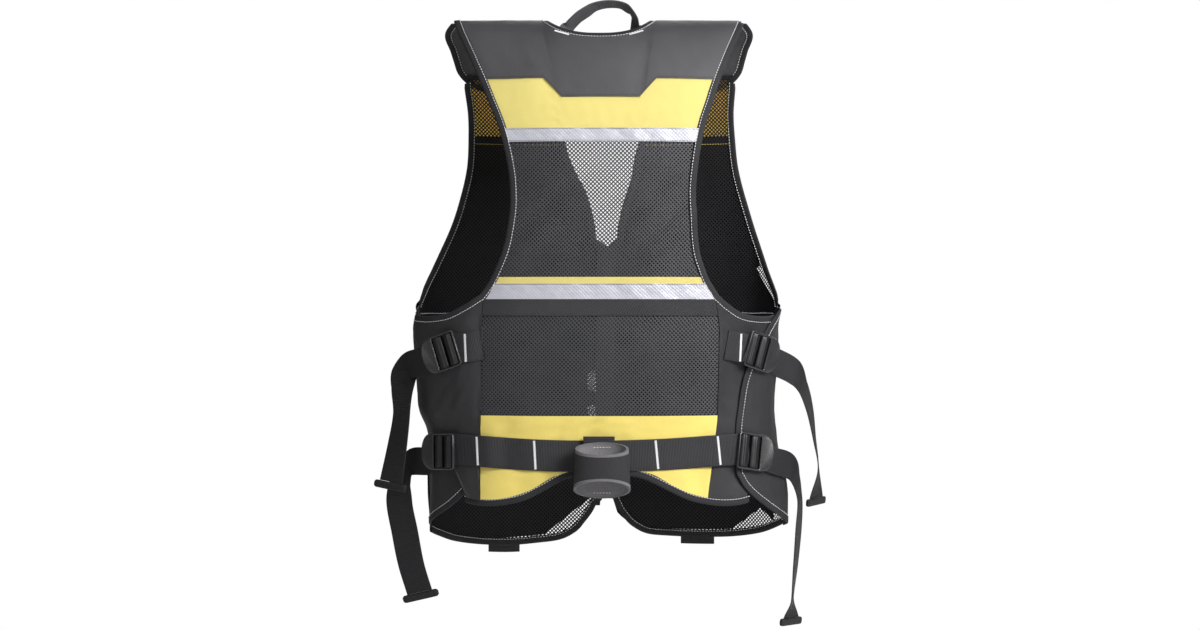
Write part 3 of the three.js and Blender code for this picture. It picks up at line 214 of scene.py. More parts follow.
@dataclass(frozen=True)
class BodyForm:
    """The rounded trunk that the cloth hangs on, in millimetres."""

    half_width: float = 260.0
    back_depth: float = 120.0
    front_depth: float = 115.0
    crown_drop: float = 210.0
    section_power: float = 2.4
    crown_power: float = 2.2
    hem_down: float = 700.0
    ridge_gap: float = 0.3

    def section(self, down: Array) -> tuple[Array, Array, Array, Array]:
        """Returns the half-width, back depth, front depth and shift of the section at each height."""
        rows = np.array(SECTIONS)
        share = np.asarray(down, float) / self.hem_down
        i = np.clip(np.searchsorted(rows[:, 0], share, side="left") - 1, 0, len(rows) - 2)
        t = np.clip((share - rows[i, 0]) / (rows[i + 1, 0] - rows[i, 0]), 0, 1)
        t = t * t * (3 - 2 * t)
        width, depth, shift = (mix(rows[i, k], rows[i + 1, k], t) for k in (1, 2, 3))
        crown = np.clip(np.asarray(down, float) / self.crown_drop, 0, 1)
        depth = depth * (1 - (1 - crown) ** self.crown_power) ** (1 / self.crown_power)
        half = self.half_width
        return half * width, self.back_depth * depth, self.front_depth * depth, half * shift

    def point(self, turn: Array, down: Array) -> Array:
        """Returns points on the form."""
        turn, down = np.broadcast_arrays(np.asarray(turn, float), np.asarray(down, float))
        half, back, front, shift = self.section(np.maximum(down, 0))
        power = 2 / self.section_power
        sine, cosine = np.sin(np.radians(turn)), -np.cos(np.radians(turn))
        across = np.sign(sine) * np.abs(sine) ** power
        ahead = np.sign(cosine) * np.abs(cosine) ** power
        behind = np.minimum(ahead * back, -self.ridge_gap)
        before = np.maximum(ahead * front, self.ridge_gap)
        return np.stack([shift + half * across, np.where(ahead < 0, behind, before), -down], axis=-1)

    def normal(self, turn: Array, down: Array) -> Array:
        """Returns the form's outward directions."""
        turn, down = np.broadcast_arrays(np.asarray(turn, float), np.asarray(down, float))
        low = np.maximum(down, 0.4)
        along = self.point(turn + 0.5, low) - self.point(turn - 0.5, low)
        below = self.point(turn, low + 0.4) - self.point(turn, low - 0.4)
        normal = unit(-np.cross(along, below))
        crowned = unit(mix(normal, UP, 0.9))
        return np.where((down < 0.4)[..., None], crowned, normal)

    def drape(self, turn: Array, down: Array) -> Array:
        """Returns how far the cloth's soft folds stand off the form, the same for all lapped layers."""
        run = np.asarray(turn, float) * 4.5
        soft = 0.9 * ripples(run, down, 95.0, 7, 1.6)
        upper = ease(down, 190, 230) * (1 - ease(down, 330, 368))
        lower = 0.7 * ease(down, 430, 470) * (1 - ease(down, 520, 560))
        slant = ripples(0.75 * run + 0.66 * down, (0.66 * run - 0.75 * down) / 5, 46.0, 8, 1.0, 6)
        folds = 1.6 * slant * (upper + lower) * (1 - ease(np.abs(turn), 24, 38))
        calm = ease(down, 0, 40) * ease(np.abs(180 - np.abs(turn)), 4, 16)
        return (soft + folds) * calm

    def lifted(self, places: Array, lift: Array | float) -> Array:
        """Returns points at some height off the form's drape."""
        lift = np.asarray(lift, float) + self.drape(places[..., 0], places[..., 1])
        lift = lift[..., None] if lift.ndim else lift
        return self.point(places[..., 0], places[..., 1]) + self.normal(places[..., 0], places[..., 1]) * lift

    def back_turn(self, half: Array, down: Array) -> Array:
        """Returns the turn at a sideways distance on the back."""
        share = np.minimum(np.abs(half) / self.section(down)[0], 1)
        return np.sign(half) * np.degrees(np.arcsin(share ** (self.section_power / 2)))

    def front_turn(self, half: Array, down: Array) -> Array:
        """Returns the turn at a sideways distance on the front."""
        return np.sign(half) * 180 - self.back_turn(half, down)

    def girth(self, down: float, centre: float, reach: float) -> tuple[Array, Array]:
        """Returns turns on both sides of a centre, and how far round the section each one lies from it."""
        turns = np.linspace(centre - reach, centre + reach, 361)
        points = self.point(turns, np.full(turns.shape, down))
        run = run_along(points)
        return turns, run - run[len(run) // 2]


FORM = BodyForm()


@dataclass(frozen=True)
class Pattern:
    """The vest's cutting pattern: sizes in millimetres and the edges that neighbouring pieces share."""

    yoke_down: float = 93.0
    yoke_dip: float = 27.0
    slant_outer: float = 0.49
    slant_inner: float = 0.36
    band_down: float = 164.0
    tape: float = 19.0
    stripe_down: float = 372.0
    stripe: float = 9.0
    webbing: float = 23.0
    lumbar_down: float = 566.0
    neck_half: float = 82.0
    neck_dip: float = 30.0
    neck_square: float = 2.6
    neck_round: float = 0.8
    shoulder_half: float = 203.0
    cap_reach: float = 222.0
    armhole_drop: float = 435.0
    seam_half: float = 166.0
    front_armhole_half: float = 191.0
    front_armhole_drop: float = 412.0
    tongue_down: float = 88.0
    tongue_lap: float = 14.0
    v_drop: float = 320.0
    front_edge: float = 11.0
    front_hem_down: float = 755.0
    hem_tilt: float = 6.0
    corner_rise: float = 50.0
    side_turn: float = 97.0
    seam_turn: float = 0.4

    @property
    def split(self) -> float:
        """Height at which the armhole leaves the back column."""
        return BACK_ARMHOLE[-1][0] * self.armhole_drop

    def back_armhole(self, side: int) -> Curve:
        """Returns the back column's edge along the armhole."""
        rows = [(d * self.armhole_drop, side * h * self.shoulder_half) for d, h in BACK_ARMHOLE]
        return Curve([(FORM.back_turn(h, d), d) for d, h in rows])

    def back_seam(self, side: int) -> Curve:
        """Returns the back column's edge below the armhole."""
        start = self.back_armhole(side).rows[-1]
        rows = [(x, d) for x, d in SEAM_PLACES[side]]
        places = [(FORM.back_turn(x - float(FORM.section(d)[3]), d), d) for x, d in rows]
        return Curve([start, *places])

    def armhole_floor(self, side: int) -> Curve:
        """Returns the armhole's edge under the arm."""
        start = self.back_armhole(side).rows[-1]
        return Curve([start, *[(side * t, d * self.armhole_drop) for d, t in ARMHOLE_FLOOR]])

    def front_armhole(self, side: int) -> Curve:
        """Returns the front panel's edge along the armhole."""
        rows = [(d * self.front_armhole_drop, side * h * self.front_armhole_half) for d, h in FRONT_ARMHOLE]
        places = [(FORM.front_turn(h, d), d) for d, h in rows]
        return Curve([*places, (side * self.side_turn, self.front_armhole_drop)])

    def tongue_edge(self, side: int) -> Curve:
        """Returns the outer edge of a shoulder tongue."""
        rows = [(d * self.tongue_down, side * h * self.cap_reach) for d, h in TONGUE_EDGE]
        return Curve([(FORM.front_turn(h, d), d) for d, h in rows])

    def front_opening(self, side: int) -> Curve:
        """Returns the front panel's edge down the front opening."""
        least = V_EDGE[-1][1]
        places = []
        for share, wide in V_EDGE:
            down = share * self.v_drop
            half = mix(self.front_edge, self.neck_half, (wide - least) / (1 - least))
            places.append((self.front_place(side, half, down), down))
        floor = self.front_hem_top(side)
        for down in ((self.v_drop + floor) / 2, floor):
            places.append((self.front_place(side, self.front_edge, down), down))
        return Curve(places)

    @staticmethod
    def front_place(side: int, half: float, down: float, middle: float | None = None) -> float:
        """Returns the turn on a front panel, counted on past the body's middle.

        Args:
            side: The panel's side.
            half: Distance from the middle of the opening, in millimetres.
            down: Height of the place.
            middle: Sideways place of the middle, or None for the opening's own.

        Returns:
            The turn, negative all the way on the left.
        """
        if middle is None:
            middle = float(np.interp(down, *zip(*OPENING_MIDDLE)))
        turn = float(FORM.front_turn(side * half + middle - float(FORM.section(down)[3]), down))
        return turn + 360 * side if turn * side < 0 else turn

    def back_hem(self) -> Curve:
        """Returns the lower edge of the back, from the wearer's left to right."""
        half = []
        for wide, rise in BACK_HEM:
            down = FORM.hem_down - rise * self.neck_half
            half.append((float(FORM.back_turn(wide * self.seam_half, down)), down))
        return Curve([*[(-t, d) for t, d in half[:0:-1]], *half])

    def front_hem_top(self, side: int) -> float:
        """Returns the height where a front panel's rounded corner starts."""
        return self.front_hem_down - side * self.hem_tilt - self.corner_rise

    def front_hem(self, side: int) -> Curve:
        """Returns the lower edge of a front panel, from the side seam to the opening."""
        top = self.front_hem_top(side)
        rows = [(side * t, top + d * self.corner_rise) for t, d in FRONT_HEM]
        for half, share in HEM_CORNER[side]:
            down = top + share * self.corner_rise
            rows.append((self.front_place(side, half, down, 0.0), down))
        return Curve(rows)

    def flap_edge(self, side: int) -> Curve:
        """Returns the free edge of a side flap."""
        return Curve([(side * t, d * FORM.hem_down) for d, t in FLAP_EDGE])

    def flap_floor(self, side: int) -> Curve:
        """Returns the lower edge of a side flap."""
        return Curve([(side * t, d * FORM.hem_down) for d, t in (FLAP_EDGE[-1], *FLAP_FLOOR)])

    def yoke_floor(self, share: Array) -> Array:
        """Returns the height of the yoke's lower edge at shares of its half-width."""
        dip = 1 - np.clip((np.abs(share) - self.slant_inner) / (self.slant_outer - self.slant_inner), 0, 1)
        return self.yoke_down + self.yoke_dip * dip

    def neckline(self, half: Array) -> Array:
        """Returns the height of the back neckline at a sideways distance."""
        share = np.minimum(np.abs(half) / self.neck_half, 1)
        return self.neck_dip * (1 - share**self.neck_square) ** self.neck_round


CUT = Pattern()


class Lap:
    """How far lapped layers stand off the form, in millimetres."""

    PLY = 3.6
    UNDER = 1.0
    SEAT = 0.35
    BIND = 3.0
    WEB = 1.8

    @classmethod
    def web(cls) -> float:
        """Returns the lift of webbing over the lapped side layers."""
        return cls.PLY + cls.UNDER + (cls.BIND + cls.WEB) / 2 + cls.SEAT

    @classmethod
    def flap(cls, side: int) -> Callable[[Array], Array]:
        """Returns the lift of a side flap: above the strip on the right, below it on the left."""
        return lambda p: (cls.PLY if side == RIGHT else -cls.UNDER) * (1 - ease(np.abs(p[..., 0]), 82, 96))

    @classmethod
    def strip(cls, side: int) -> Callable[[Array], Array]:
        """Returns the lift of a side strip."""
        return lambda p: (cls.PLY if side == LEFT else 0.0) * ease(np.abs(p[..., 0]), 30, 38)

    @classmethod
    def tongue(cls, p: Array) -> Array:
        """Returns the lift of a shoulder tongue over the front panel."""
        return cls.PLY * ease(p[..., 1], 4, 34)

    @classmethod
    def belt(cls, p: Array) -> Array:
        """Returns the lift of the belt."""
        seat = (cls.BIND + cls.WEB) / 2 + cls.SEAT
        return mix(seat, cls.web(), ease(np.abs(p[..., 0]), 27, 36))


def patch(top: Array, bottom: Array, left: Array, right: Array) -> Array:
    """Fills four edges with a grid of places; top and bottom run sideways, left and right run down."""
    u = np.linspace(0, 1, len(top))[None, :, None]
    v = np.linspace(0, 1, len(left))[:, None, None]
    ruled = mix(top[None], bottom[None], v)
    across = mix(left[:, None], right[:, None], u)
    corners = mix(mix(top[0], top[-1], u), mix(bottom[0], bottom[-1], u), v)
    return ruled + across - corners


def straight(start: Sequence[float], end: Sequence[float], count: int) -> Array:
    """Returns count + 1 places on a straight line."""
    return mix(np.asarray(start, float), np.asarray(end, float), np.linspace(0, 1, count + 1)[:, None])


def level_grid(left: Curve, right: Curve, top: float, bottom: float, columns: int, rows: int) -> Array:
    """Returns a grid of places between two edges, in level rows."""
    down = np.linspace(top, bottom, rows + 1)
    turns = mix(
        left.turn_at(down)[:, None], right.turn_at(down)[:, None], np.linspace(0, 1, columns + 1)[None]
    )
    return np.stack([turns, np.broadcast_to(down[:, None], turns.shape)], axis=-1)


def flat_map(points: Array) -> Array:
    """Returns UVs in metres for a grid of points, measured along its rows and down its middle column."""
    across = np.linalg.norm(np.diff(points, axis=1), axis=2).cumsum(axis=1)
    across = np.concatenate([np.zeros((len(points), 1)), across], axis=1)
    across -= across[:, [across.shape[1] // 2]]
    down = np.linalg.norm(np.diff(points, axis=0), axis=2).cumsum(axis=0)
    down = np.concatenate([np.zeros((1, points.shape[1])), down], axis=0)
    return np.stack([across, -down], axis=-1) * MM


def new_object(
    name: str, points: Array, faces: Sequence[Sequence[int]], uv: Array | None = None
) -> bpy.types.Object:
    """Makes a mesh object from points in millimetres.

    Args:
        name: Name of the object and its mesh.
        points: One row of three numbers for each vertex.
        faces: Vertex indices of each face.
        uv: One row of two numbers for each vertex, in metres.

    Returns:
        The object, linked to the scene, with smooth faces.
    """
    mesh = bpy.data.meshes.new(name)
    mesh.from_pydata((np.asarray(points, float) * MM).tolist(), [], [list(f) for f in faces])
    if uv is not None:
        layer = mesh.uv_layers.new(name="cloth")
        loops = np.zeros(len(mesh.loops), np.int32)
        mesh.loops.foreach_get("vertex_index", loops)
        layer.data.foreach_set("uv", np.asarray(uv, np.float32)[loops].ravel())
    mesh.polygons.foreach_set("use_smooth", np.ones(len(mesh.polygons), bool))
    obj = bpy.data.objects.new(name, mesh)
    bpy.context.scene.collection.objects.link(obj)
    return obj


def baked(source: bpy.types.Object, name: str) -> bpy.types.Object:
    """Replaces a curve, or an object with modifiers, by a plain mesh of what it shows."""
    mesh = bpy.data.meshes.new_from_object(source.evaluated_get(bpy.context.evaluated_depsgraph_get()))
    mesh.name = name
    made = bpy.data.objects.new(name, mesh)
    bpy.context.scene.collection.objects.link(made)
    bpy.data.objects.remove(source)
    return made


def outward(points: Array, faces: Array) -> Array:
    """Returns the faces turned so that a closed shell's volume is positive."""
    a, b, c = (points[faces[:, k]] for k in range(3))
    volume = np.einsum("ij,ij->", a, np.cross(b, c))
    if faces.shape[1] == 4:
        volume += np.einsum("ij,ij->", a, np.cross(c, points[faces[:, 3]]))
    return faces if volume > 0 else faces[:, ::-1]


def edge_fade(shape: tuple[int, int]) -> Array:
    """Returns a grid that is 1 inside a panel and falls to 0 at its edges."""
    rows, columns = (np.linspace(0, 1, count) for count in shape)
    down = ease(rows, 0, 0.15) * (1 - ease(rows, 0.85, 1))
    across = ease(columns, 0, 0.06) * (1 - ease(columns, 0.94, 1))
    return down[:, None] * across[None]


def slab(name: str, outer: Array, inner: Array, wrap: bool = False, turned: bool = False) -> bpy.types.Object:
    """Closes two grids of points into a wall.

    Args:
        name: Name of the piece.
        outer: Grid of points on one face.
        inner: Grid of points on the other face.
        wrap: Whether the last column joins the first one.
        turned: Whether the UVs are turned, for threads that run sideways.

    Returns:
        The piece, with UVs in metres, and its rim faces in the last places.
    """
    rows, columns = outer.shape[:2]
    index = np.arange(rows * columns).reshape(rows, columns)
    if wrap:
        index = np.concatenate([index, index[:, :1]], axis=1)
    back = index + rows * columns

    def quads(a: Array, b: Array, c: Array, d: Array) -> Array:
        """Returns four index grids as rows of faces."""
        return np.stack([a.ravel(), b.ravel(), c.ravel(), d.ravel()], axis=1)

    faces = [
        quads(index[:-1, :-1], index[1:, :-1], index[1:, 1:], index[:-1, 1:]),
        quads(back[:-1, :-1], back[:-1, 1:], back[1:, 1:], back[1:, :-1]),
        quads(index[0, :-1], index[0, 1:], back[0, 1:], back[0, :-1]),
        quads(back[-1, :-1], back[-1, 1:], index[-1, 1:], index[-1, :-1]),
    ]
    if not wrap:
        faces.append(quads(back[:-1, 0], back[1:, 0], index[1:, 0], index[:-1, 0]))
        faces.append(quads(index[:-1, -1], index[1:, -1], back[1:, -1], back[:-1, -1]))
    points = np.concatenate([outer.reshape(-1, 3), inner.reshape(-1, 3)])
    uv = flat_map(outer).reshape(-1, 2)
    uv = uv[:, ::-1] if turned else uv
    faces = outward(points, np.concatenate(faces))
    obj = new_object(name, points, faces, np.concatenate([uv, uv]))
    obj.data.set_sharp_from_angle(angle=math.radians(50))
    return obj


def tape_profile(width: float, thick: float, steps: int = 8) -> Array:
    """Returns the rounded outline of webbing or binding, cut across its length.

    Args:
        width: Width across the webbing.
        thick: Thickness of the webbing.
        steps: Points along each face.

    Returns:
        Rows of (across, out) in millimetres, in one closed loop.
    """
    r = thick / 2
    flat = np.linspace(-width / 2 + r, width / 2 - r, steps)
    turn = np.radians((60, 20, -20, -60))
    right = np.stack([width / 2 - r + r * np.cos(turn), r * np.sin(turn)], axis=1)
    return np.concatenate(
        [
            np.stack([flat, np.full(steps, r)], axis=1),
            right,
            np.stack([flat[::-1], np.full(steps, -r)], axis=1),
            right * (-1, 1) * (1, -1),
        ]
    )


def sweep(name: str, centres: Array, across: Array, outwards: Array, profile: Array) -> bpy.types.Object:
    """Carries an outline along a path and closes both ends.

    Args:
        name: Name of the piece.
        centres: Points of the path.
        across: Direction across the piece at each point.
        outwards: Direction out of the piece's face at each point.
        profile: Closed outline as rows of (across, out), or one outline for each point.

    Returns:
        The piece, with UVs in metres: across it, and along it.
    """
    count = len(centres)
    profile = np.broadcast_to(profile, (count, *np.asarray(profile).shape[-2:]))
    ring = profile.shape[1]
    points = centres[:, None] + across[:, None] * profile[..., :1] + outwards[:, None] * profile[..., 1:]
    index = np.arange(count * ring).reshape(count, ring)
    index = np.concatenate([index, index[:, :1]], axis=1)
    faces = np.stack([index[:-1, :-1], index[1:, :-1], index[1:, 1:], index[:-1, 1:]], axis=-1).reshape(-1, 4)
    flat = points.reshape(-1, 3)
    turned = outward(flat, faces)
    caps = [list(range(ring)), list(range((count - 1) * ring, count * ring))]
    same = turned is faces
    caps = [caps[0] if same else caps[0][::-1], caps[1][::-1] if same else caps[1]]
    run = run_along(centres)
    uv = np.stack(
        [profile[..., 0], np.broadcast_to(run[:, None], profile.shape[:2])], axis=-1
    ).reshape(-1, 2) * MM
    obj = new_object(name, flat, [*turned.tolist(), *caps], uv)
    obj.data.set_sharp_from_angle(angle=math.radians(60))
    return obj


def beside(points: Array, normals: Array, sideways: float) -> Array:
    """Returns the directions across a path on a surface, towards one of its sides."""
    return unit(np.cross(unit(np.gradient(points, axis=0)), normals)) * sideways


def lay_across(points: Array, across: Array) -> tuple[Array, Array]:
    """Returns directions across a free strap made square to its run, and out of its face."""
    along = unit(np.gradient(points, axis=0))
    square = unit(across - along * (across * along).sum(-1, keepdims=True))
    return square, np.cross(along, square)


# Finishes


class Shader:
    """A material under construction, or a node group inside materials."""

    def __init__(self, tree: bpy.types.NodeTree) -> None:
        """Keeps the node tree to build in."""
        self.tree = tree

    def node(self, kind: str, **values: object) -> bpy.types.Node:
        """Adds a node and sets its properties by name."""
        made = self.tree.nodes.new(kind)
        for key, value in values.items():
            setattr(made, key, value)
        return made

    def join(self, source: bpy.types.NodeSocket, target: bpy.types.NodeSocket) -> None:
        """Links two sockets."""
        self.tree.links.new(source, target)

    def math(self, operation: str, a: object, b: object = 0.0) -> bpy.types.NodeSocket:
        """Adds a Math node.

        Args:
            operation: Name of the operation.
            a: A socket or a number.
            b: A socket or a number.

        Returns:
            The node's output socket.
        """
        made = self.node("ShaderNodeMath", operation=operation)
        for socket, value in zip(made.inputs, (a, b)):
            if isinstance(value, bpy.types.NodeSocket):
                self.join(value, socket)
            else:
                socket.default_value = value
        return made.outputs[0]

    def blend(
        self, share: bpy.types.NodeSocket, dark: Sequence[float], light: Sequence[float]
    ) -> bpy.types.NodeSocket:
        """Mixes two colours, each given as numbers or a socket, by a share between 0 and 1."""
        made = self.node("ShaderNodeMix", data_type="RGBA")
        self.join(share, made.inputs["Factor"])
        for key, value in ((6, dark), (7, light)):
            if isinstance(value, bpy.types.NodeSocket):
                self.join(value, made.inputs[key])
            else:
                made.inputs[key].default_value = (*value, 1.0)
        return made.outputs[2]


def open_group(
    name: str, inputs: Sequence[tuple[str, str, float]], outputs: Sequence[str]
) -> tuple[Shader, dict, dict]:
    """Makes a shader node group.

    Args:
        name: Name of the group.
        inputs: Socket name, kind ("Vector" or "Float") and first value.
        outputs: Names of the float outputs.

    Returns:
        The builder, the group's input sockets by name and its output sockets by name.
    """
    tree = bpy.data.node_groups.new(name, "ShaderNodeTree")
    for label, kind, value in inputs:
        socket = tree.interface.new_socket(label, in_out="INPUT", socket_type="NodeSocket" + kind)
        if kind == "Float":
            socket.default_value = value
    for label in outputs:
        tree.interface.new_socket(label, in_out="OUTPUT", socket_type="NodeSocketFloat")
    shader = Shader(tree)
    start, end = shader.node("NodeGroupInput"), shader.node("NodeGroupOutput")
    return shader, {s.name: s for s in start.outputs}, {s.name: s for s in end.inputs}


class Groups:
    """Shader node groups that several finishes share, each built once."""

    def __init__(self) -> None:
        """Builds all the groups."""
        self.weave = self.make_weave()
        self.ribs = self.make_ribs()
        self.mottle = self.make_mottle()

    @staticmethod
    def make_weave() -> bpy.types.NodeTree:
        """Builds a plain weave: threads pass over and under each other in a chequer."""
        s, given, out = open_group(
            "plain_weave", [("Map", "Vector", 0), ("Threads", "Float", 1500.0)], ["Height"]
        )
        part = s.node("ShaderNodeSeparateXYZ")
        s.join(given["Map"], part.inputs[0])
        waves = []
        for axis in ("X", "Y"):
            angle = s.math("MULTIPLY", s.math("MULTIPLY", part.outputs[axis], given["Threads"]), math.pi)
            waves.append(s.math("SINE", angle))
        over = s.math("GREATER_THAN", s.math("MULTIPLY", waves[0], waves[1]), 0.0)
        warp, weft = (s.math("POWER", s.math("ABSOLUTE", w), 0.6) for w in waves)
        first = s.math("MULTIPLY", warp, over)
        second = s.math("MULTIPLY", weft, s.math("SUBTRACT", 1.0, over))
        s.join(s.math("ADD", first, second), out["Height"])
        return s.tree

    @staticmethod
    def make_ribs() -> bpy.types.NodeTree:
        """Builds the ribs across webbing, with a fine stagger between neighbouring threads."""
        s, given, out = open_group(
            "webbing_ribs", [("Map", "Vector", 0), ("Ribs", "Float", 450.0), ("Threads", "Float", 900.0)],
            ["Height"]
        )
        part = s.node("ShaderNodeSeparateXYZ")
        s.join(given["Map"], part.inputs[0])
        across = s.math("MULTIPLY", part.outputs["X"], given["Threads"])
        along = s.math("MULTIPLY", part.outputs["Y"], given["Ribs"])
        step = s.math("MULTIPLY", s.math("FLOOR", s.math("MODULO", across, 2.0)), 0.5)
        rib = s.math("ABSOLUTE", s.math("SINE", s.math("MULTIPLY", along, math.pi)))
        bead = s.math("ABSOLUTE", s.math("SINE", s.math("MULTIPLY", s.math("ADD", along, step), math.pi)))
        thread = s.math("ABSOLUTE", s.math("SINE", s.math("MULTIPLY", across, math.pi)))
        fine = s.math("MULTIPLY", s.math("MULTIPLY", bead, thread), 0.35)
        s.join(s.math("ADD", s.math("MULTIPLY", rib, 0.65), fine), out["Height"])
        return s.tree

    @staticmethod
    def make_mottle() -> bpy.types.NodeTree:
        """Builds an uneven tone: a broad cloud with a finer one over it."""
        s, given, out = open_group("cloth_mottle", [("Map", "Vector", 0), ("Size", "Float", 20.0)], ["Mask"])
        clouds = []
        for times, detail in ((1.0, 2.0), (9.0, 4.0)):
            noise = s.node("ShaderNodeTexNoise")
            noise.inputs["Detail"].default_value = detail
            s.join(given["Map"], noise.inputs["Vector"])
            s.join(s.math("MULTIPLY", given["Size"], times), noise.inputs["Scale"])
            clouds.append(noise.outputs[0])
        s.join(
            s.math("ADD", s.math("MULTIPLY", clouds[0], 0.6), s.math("MULTIPLY", clouds[1], 0.4)), out["Mask"]
        )
        return s.tree


class Pattern2D(Enum):
    """The fine relief of a finish."""

    WEAVE = "weave"
    RIBS = "ribs"
    DIAMOND = "diamond"
    GRAIN = "grain"


@dataclass(frozen=True)
class Finish:
    """One procedural finish.

    Args:
        name: Name of the material.
        slot: The record's material slot that it stands for; not used.
        dark: Colour in the hollows of the fine relief, darker there as painted shade.
        light: Colour on the high places.
        rough: Least and most roughness.
        relief: Fine relief.
        fine: Threads, ribs or cells for each metre.
        depth: Depth of the relief in millimetres.
        metal: How metallic it looks.
        coat: Weight of a clear coat.
        mottle: Size of the uneven tone, as clouds for each metre.
        through: Share of light that passes through the cloth.
        gloss: Strength of the plain reflection.
    """

    name: str
    slot: str
    dark: tuple[float, float, float]
    light: tuple[float, float, float]
    rough: tuple[float, float] = (0.75, 0.9)
    relief: Pattern2D = Pattern2D.WEAVE
    fine: float = 1500.0
    depth: float = 0.25
    metal: float = 0.0
    coat: float = 0.0
    mottle: float = 22.0
    through: float = 0.0
    gloss: float = 0.3

    def build(self, groups: Groups) -> bpy.types.Material:
        """Builds the material from the shared groups."""
        material = bpy.data.materials.new(self.name)
        material.use_nodes = True
        material.diffuse_color = (*self.light, 1.0)
        s = Shader(material.node_tree)
        shader = material.node_tree.nodes["Principled BSDF"]
        shader.inputs["Metallic"].default_value = self.metal
        shader.inputs["Specular IOR Level"].default_value = self.gloss
        shader.inputs["Coat Weight"].default_value = self.coat
        shader.inputs["Coat Roughness"].default_value = 0.25
        place = s.node("ShaderNodeTexCoord").outputs["Object"]
        uv = s.node("ShaderNodeUVMap", uv_map="cloth").outputs["UV"]
        height = self.make_relief(s, groups, uv, place)
        cloud = s.node("ShaderNodeGroup", node_tree=groups.mottle)
        s.join(place, cloud.inputs["Map"])
        cloud.inputs["Size"].default_value = self.mottle
        # Painted shade: the fine relief's hollows take the dark colour, mixed with a random uneven tone from
        # the mottle.
        mask = s.math(
            "ADD", s.math("MULTIPLY", height, 0.55), s.math("MULTIPLY", cloud.outputs["Mask"], 0.45)
        )
        s.join(s.blend(mask, self.dark, self.light), shader.inputs["Base Color"])
        spread = s.math("MULTIPLY", cloud.outputs["Mask"], self.rough[1] - self.rough[0])
        s.join(s.math("ADD", spread, self.rough[0]), shader.inputs["Roughness"])
        bump = s.node("ShaderNodeBump")
        bump.inputs["Strength"].default_value = 1.0
        bump.inputs["Distance"].default_value = self.depth * MM
        s.join(height, bump.inputs["Height"])
        s.join(bump.outputs["Normal"], shader.inputs["Normal"])
        if self.through:
            pass_through, both = s.node("ShaderNodeBsdfTranslucent"), s.node("ShaderNodeMixShader")
            pass_through.inputs["Color"].default_value = (*self.light, 1.0)
            both.inputs[0].default_value = self.through
            s.join(shader.outputs[0], both.inputs[1])
            s.join(pass_through.outputs[0], both.inputs[2])
            s.join(both.outputs[0], material.node_tree.nodes["Material Output"].inputs["Surface"])
        return material

    def make_relief(
        self, s: Shader, groups: Groups, uv: bpy.types.NodeSocket, place: bpy.types.NodeSocket
    ) -> bpy.types.NodeSocket:
        """Returns the socket that holds the fine relief's height."""
        if self.relief in (Pattern2D.WEAVE, Pattern2D.RIBS):
            tree = groups.weave if self.relief is Pattern2D.WEAVE else groups.ribs
            made = s.node("ShaderNodeGroup", node_tree=tree)
            s.join(uv, made.inputs["Map"])
            if self.relief is Pattern2D.WEAVE:
                made.inputs["Threads"].default_value = self.fine
            else:
                made.inputs["Ribs"].default_value = self.fine
                made.inputs["Threads"].default_value = self.fine * 2.2
            return made.outputs["Height"]
        if self.relief is Pattern2D.DIAMOND:
            part = s.node("ShaderNodeSeparateXYZ")
            s.join(uv, part.inputs[0])
            total = s.math("ADD", part.outputs["X"], part.outputs["Y"])
            spare = s.math("SUBTRACT", part.outputs["X"], part.outputs["Y"])
            waves = [s.math("SINE", s.math("MULTIPLY", x, self.fine * math.pi)) for x in (total, spare)]
            return s.math("POWER", s.math("ABSOLUTE", s.math("MULTIPLY", *waves)), 0.5)
        noise = s.node("ShaderNodeTexNoise")
        noise.inputs["Scale"].default_value = self.fine
        noise.inputs["Detail"].default_value = 5.0
        s.join(place, noise.inputs["Vector"])
        return noise.outputs[0]


CORDURA = Finish(
    "yoke_cordura", "cloth_dark", (0.006, 0.006, 0.007), (0.076, 0.075, 0.084), (0.42, 0.56), fine=620.0,
    depth=0.3,
    gloss=0.7,
)
# Darker copy of the yoke's Cordura: painted shade on the side strips and flaps, which face away from the
# light.
SIDE_CLOTH_PAINTED_SHADE = Finish(
    "side_cordura_painted_shade", "cloth_dark", (0.004, 0.004, 0.005), (0.032, 0.031, 0.034), (0.45, 0.6), fine=620.0,
    depth=0.3,
    gloss=0.5,
)
# Black pocket cloth, darkened far past the yoke's Cordura: its own black plus painted shade inside the front.
POCKET_CLOTH_PAINTED_SHADE = Finish(
    "pocket_cloth_painted_shade", "cloth_dark", (0.002, 0.002, 0.002), (0.008, 0.008, 0.009), (0.7, 0.85), fine=620.0,
    gloss=0.12
)
YELLOW = Finish(
    "yellow_cloth", "cloth_yellow", (0.86, 0.7, 0.19), (1.0, 0.92, 0.39), (0.7, 0.85), fine=1200.0,
    depth=0.12, through=0.4
)
CHEST = Finish(
    "chest_cloth", "cloth_yellow", (0.86, 0.62, 0.14), (1.0, 0.82, 0.3), (0.7, 0.85), fine=1200.0, depth=0.12,
    through=0.65
)
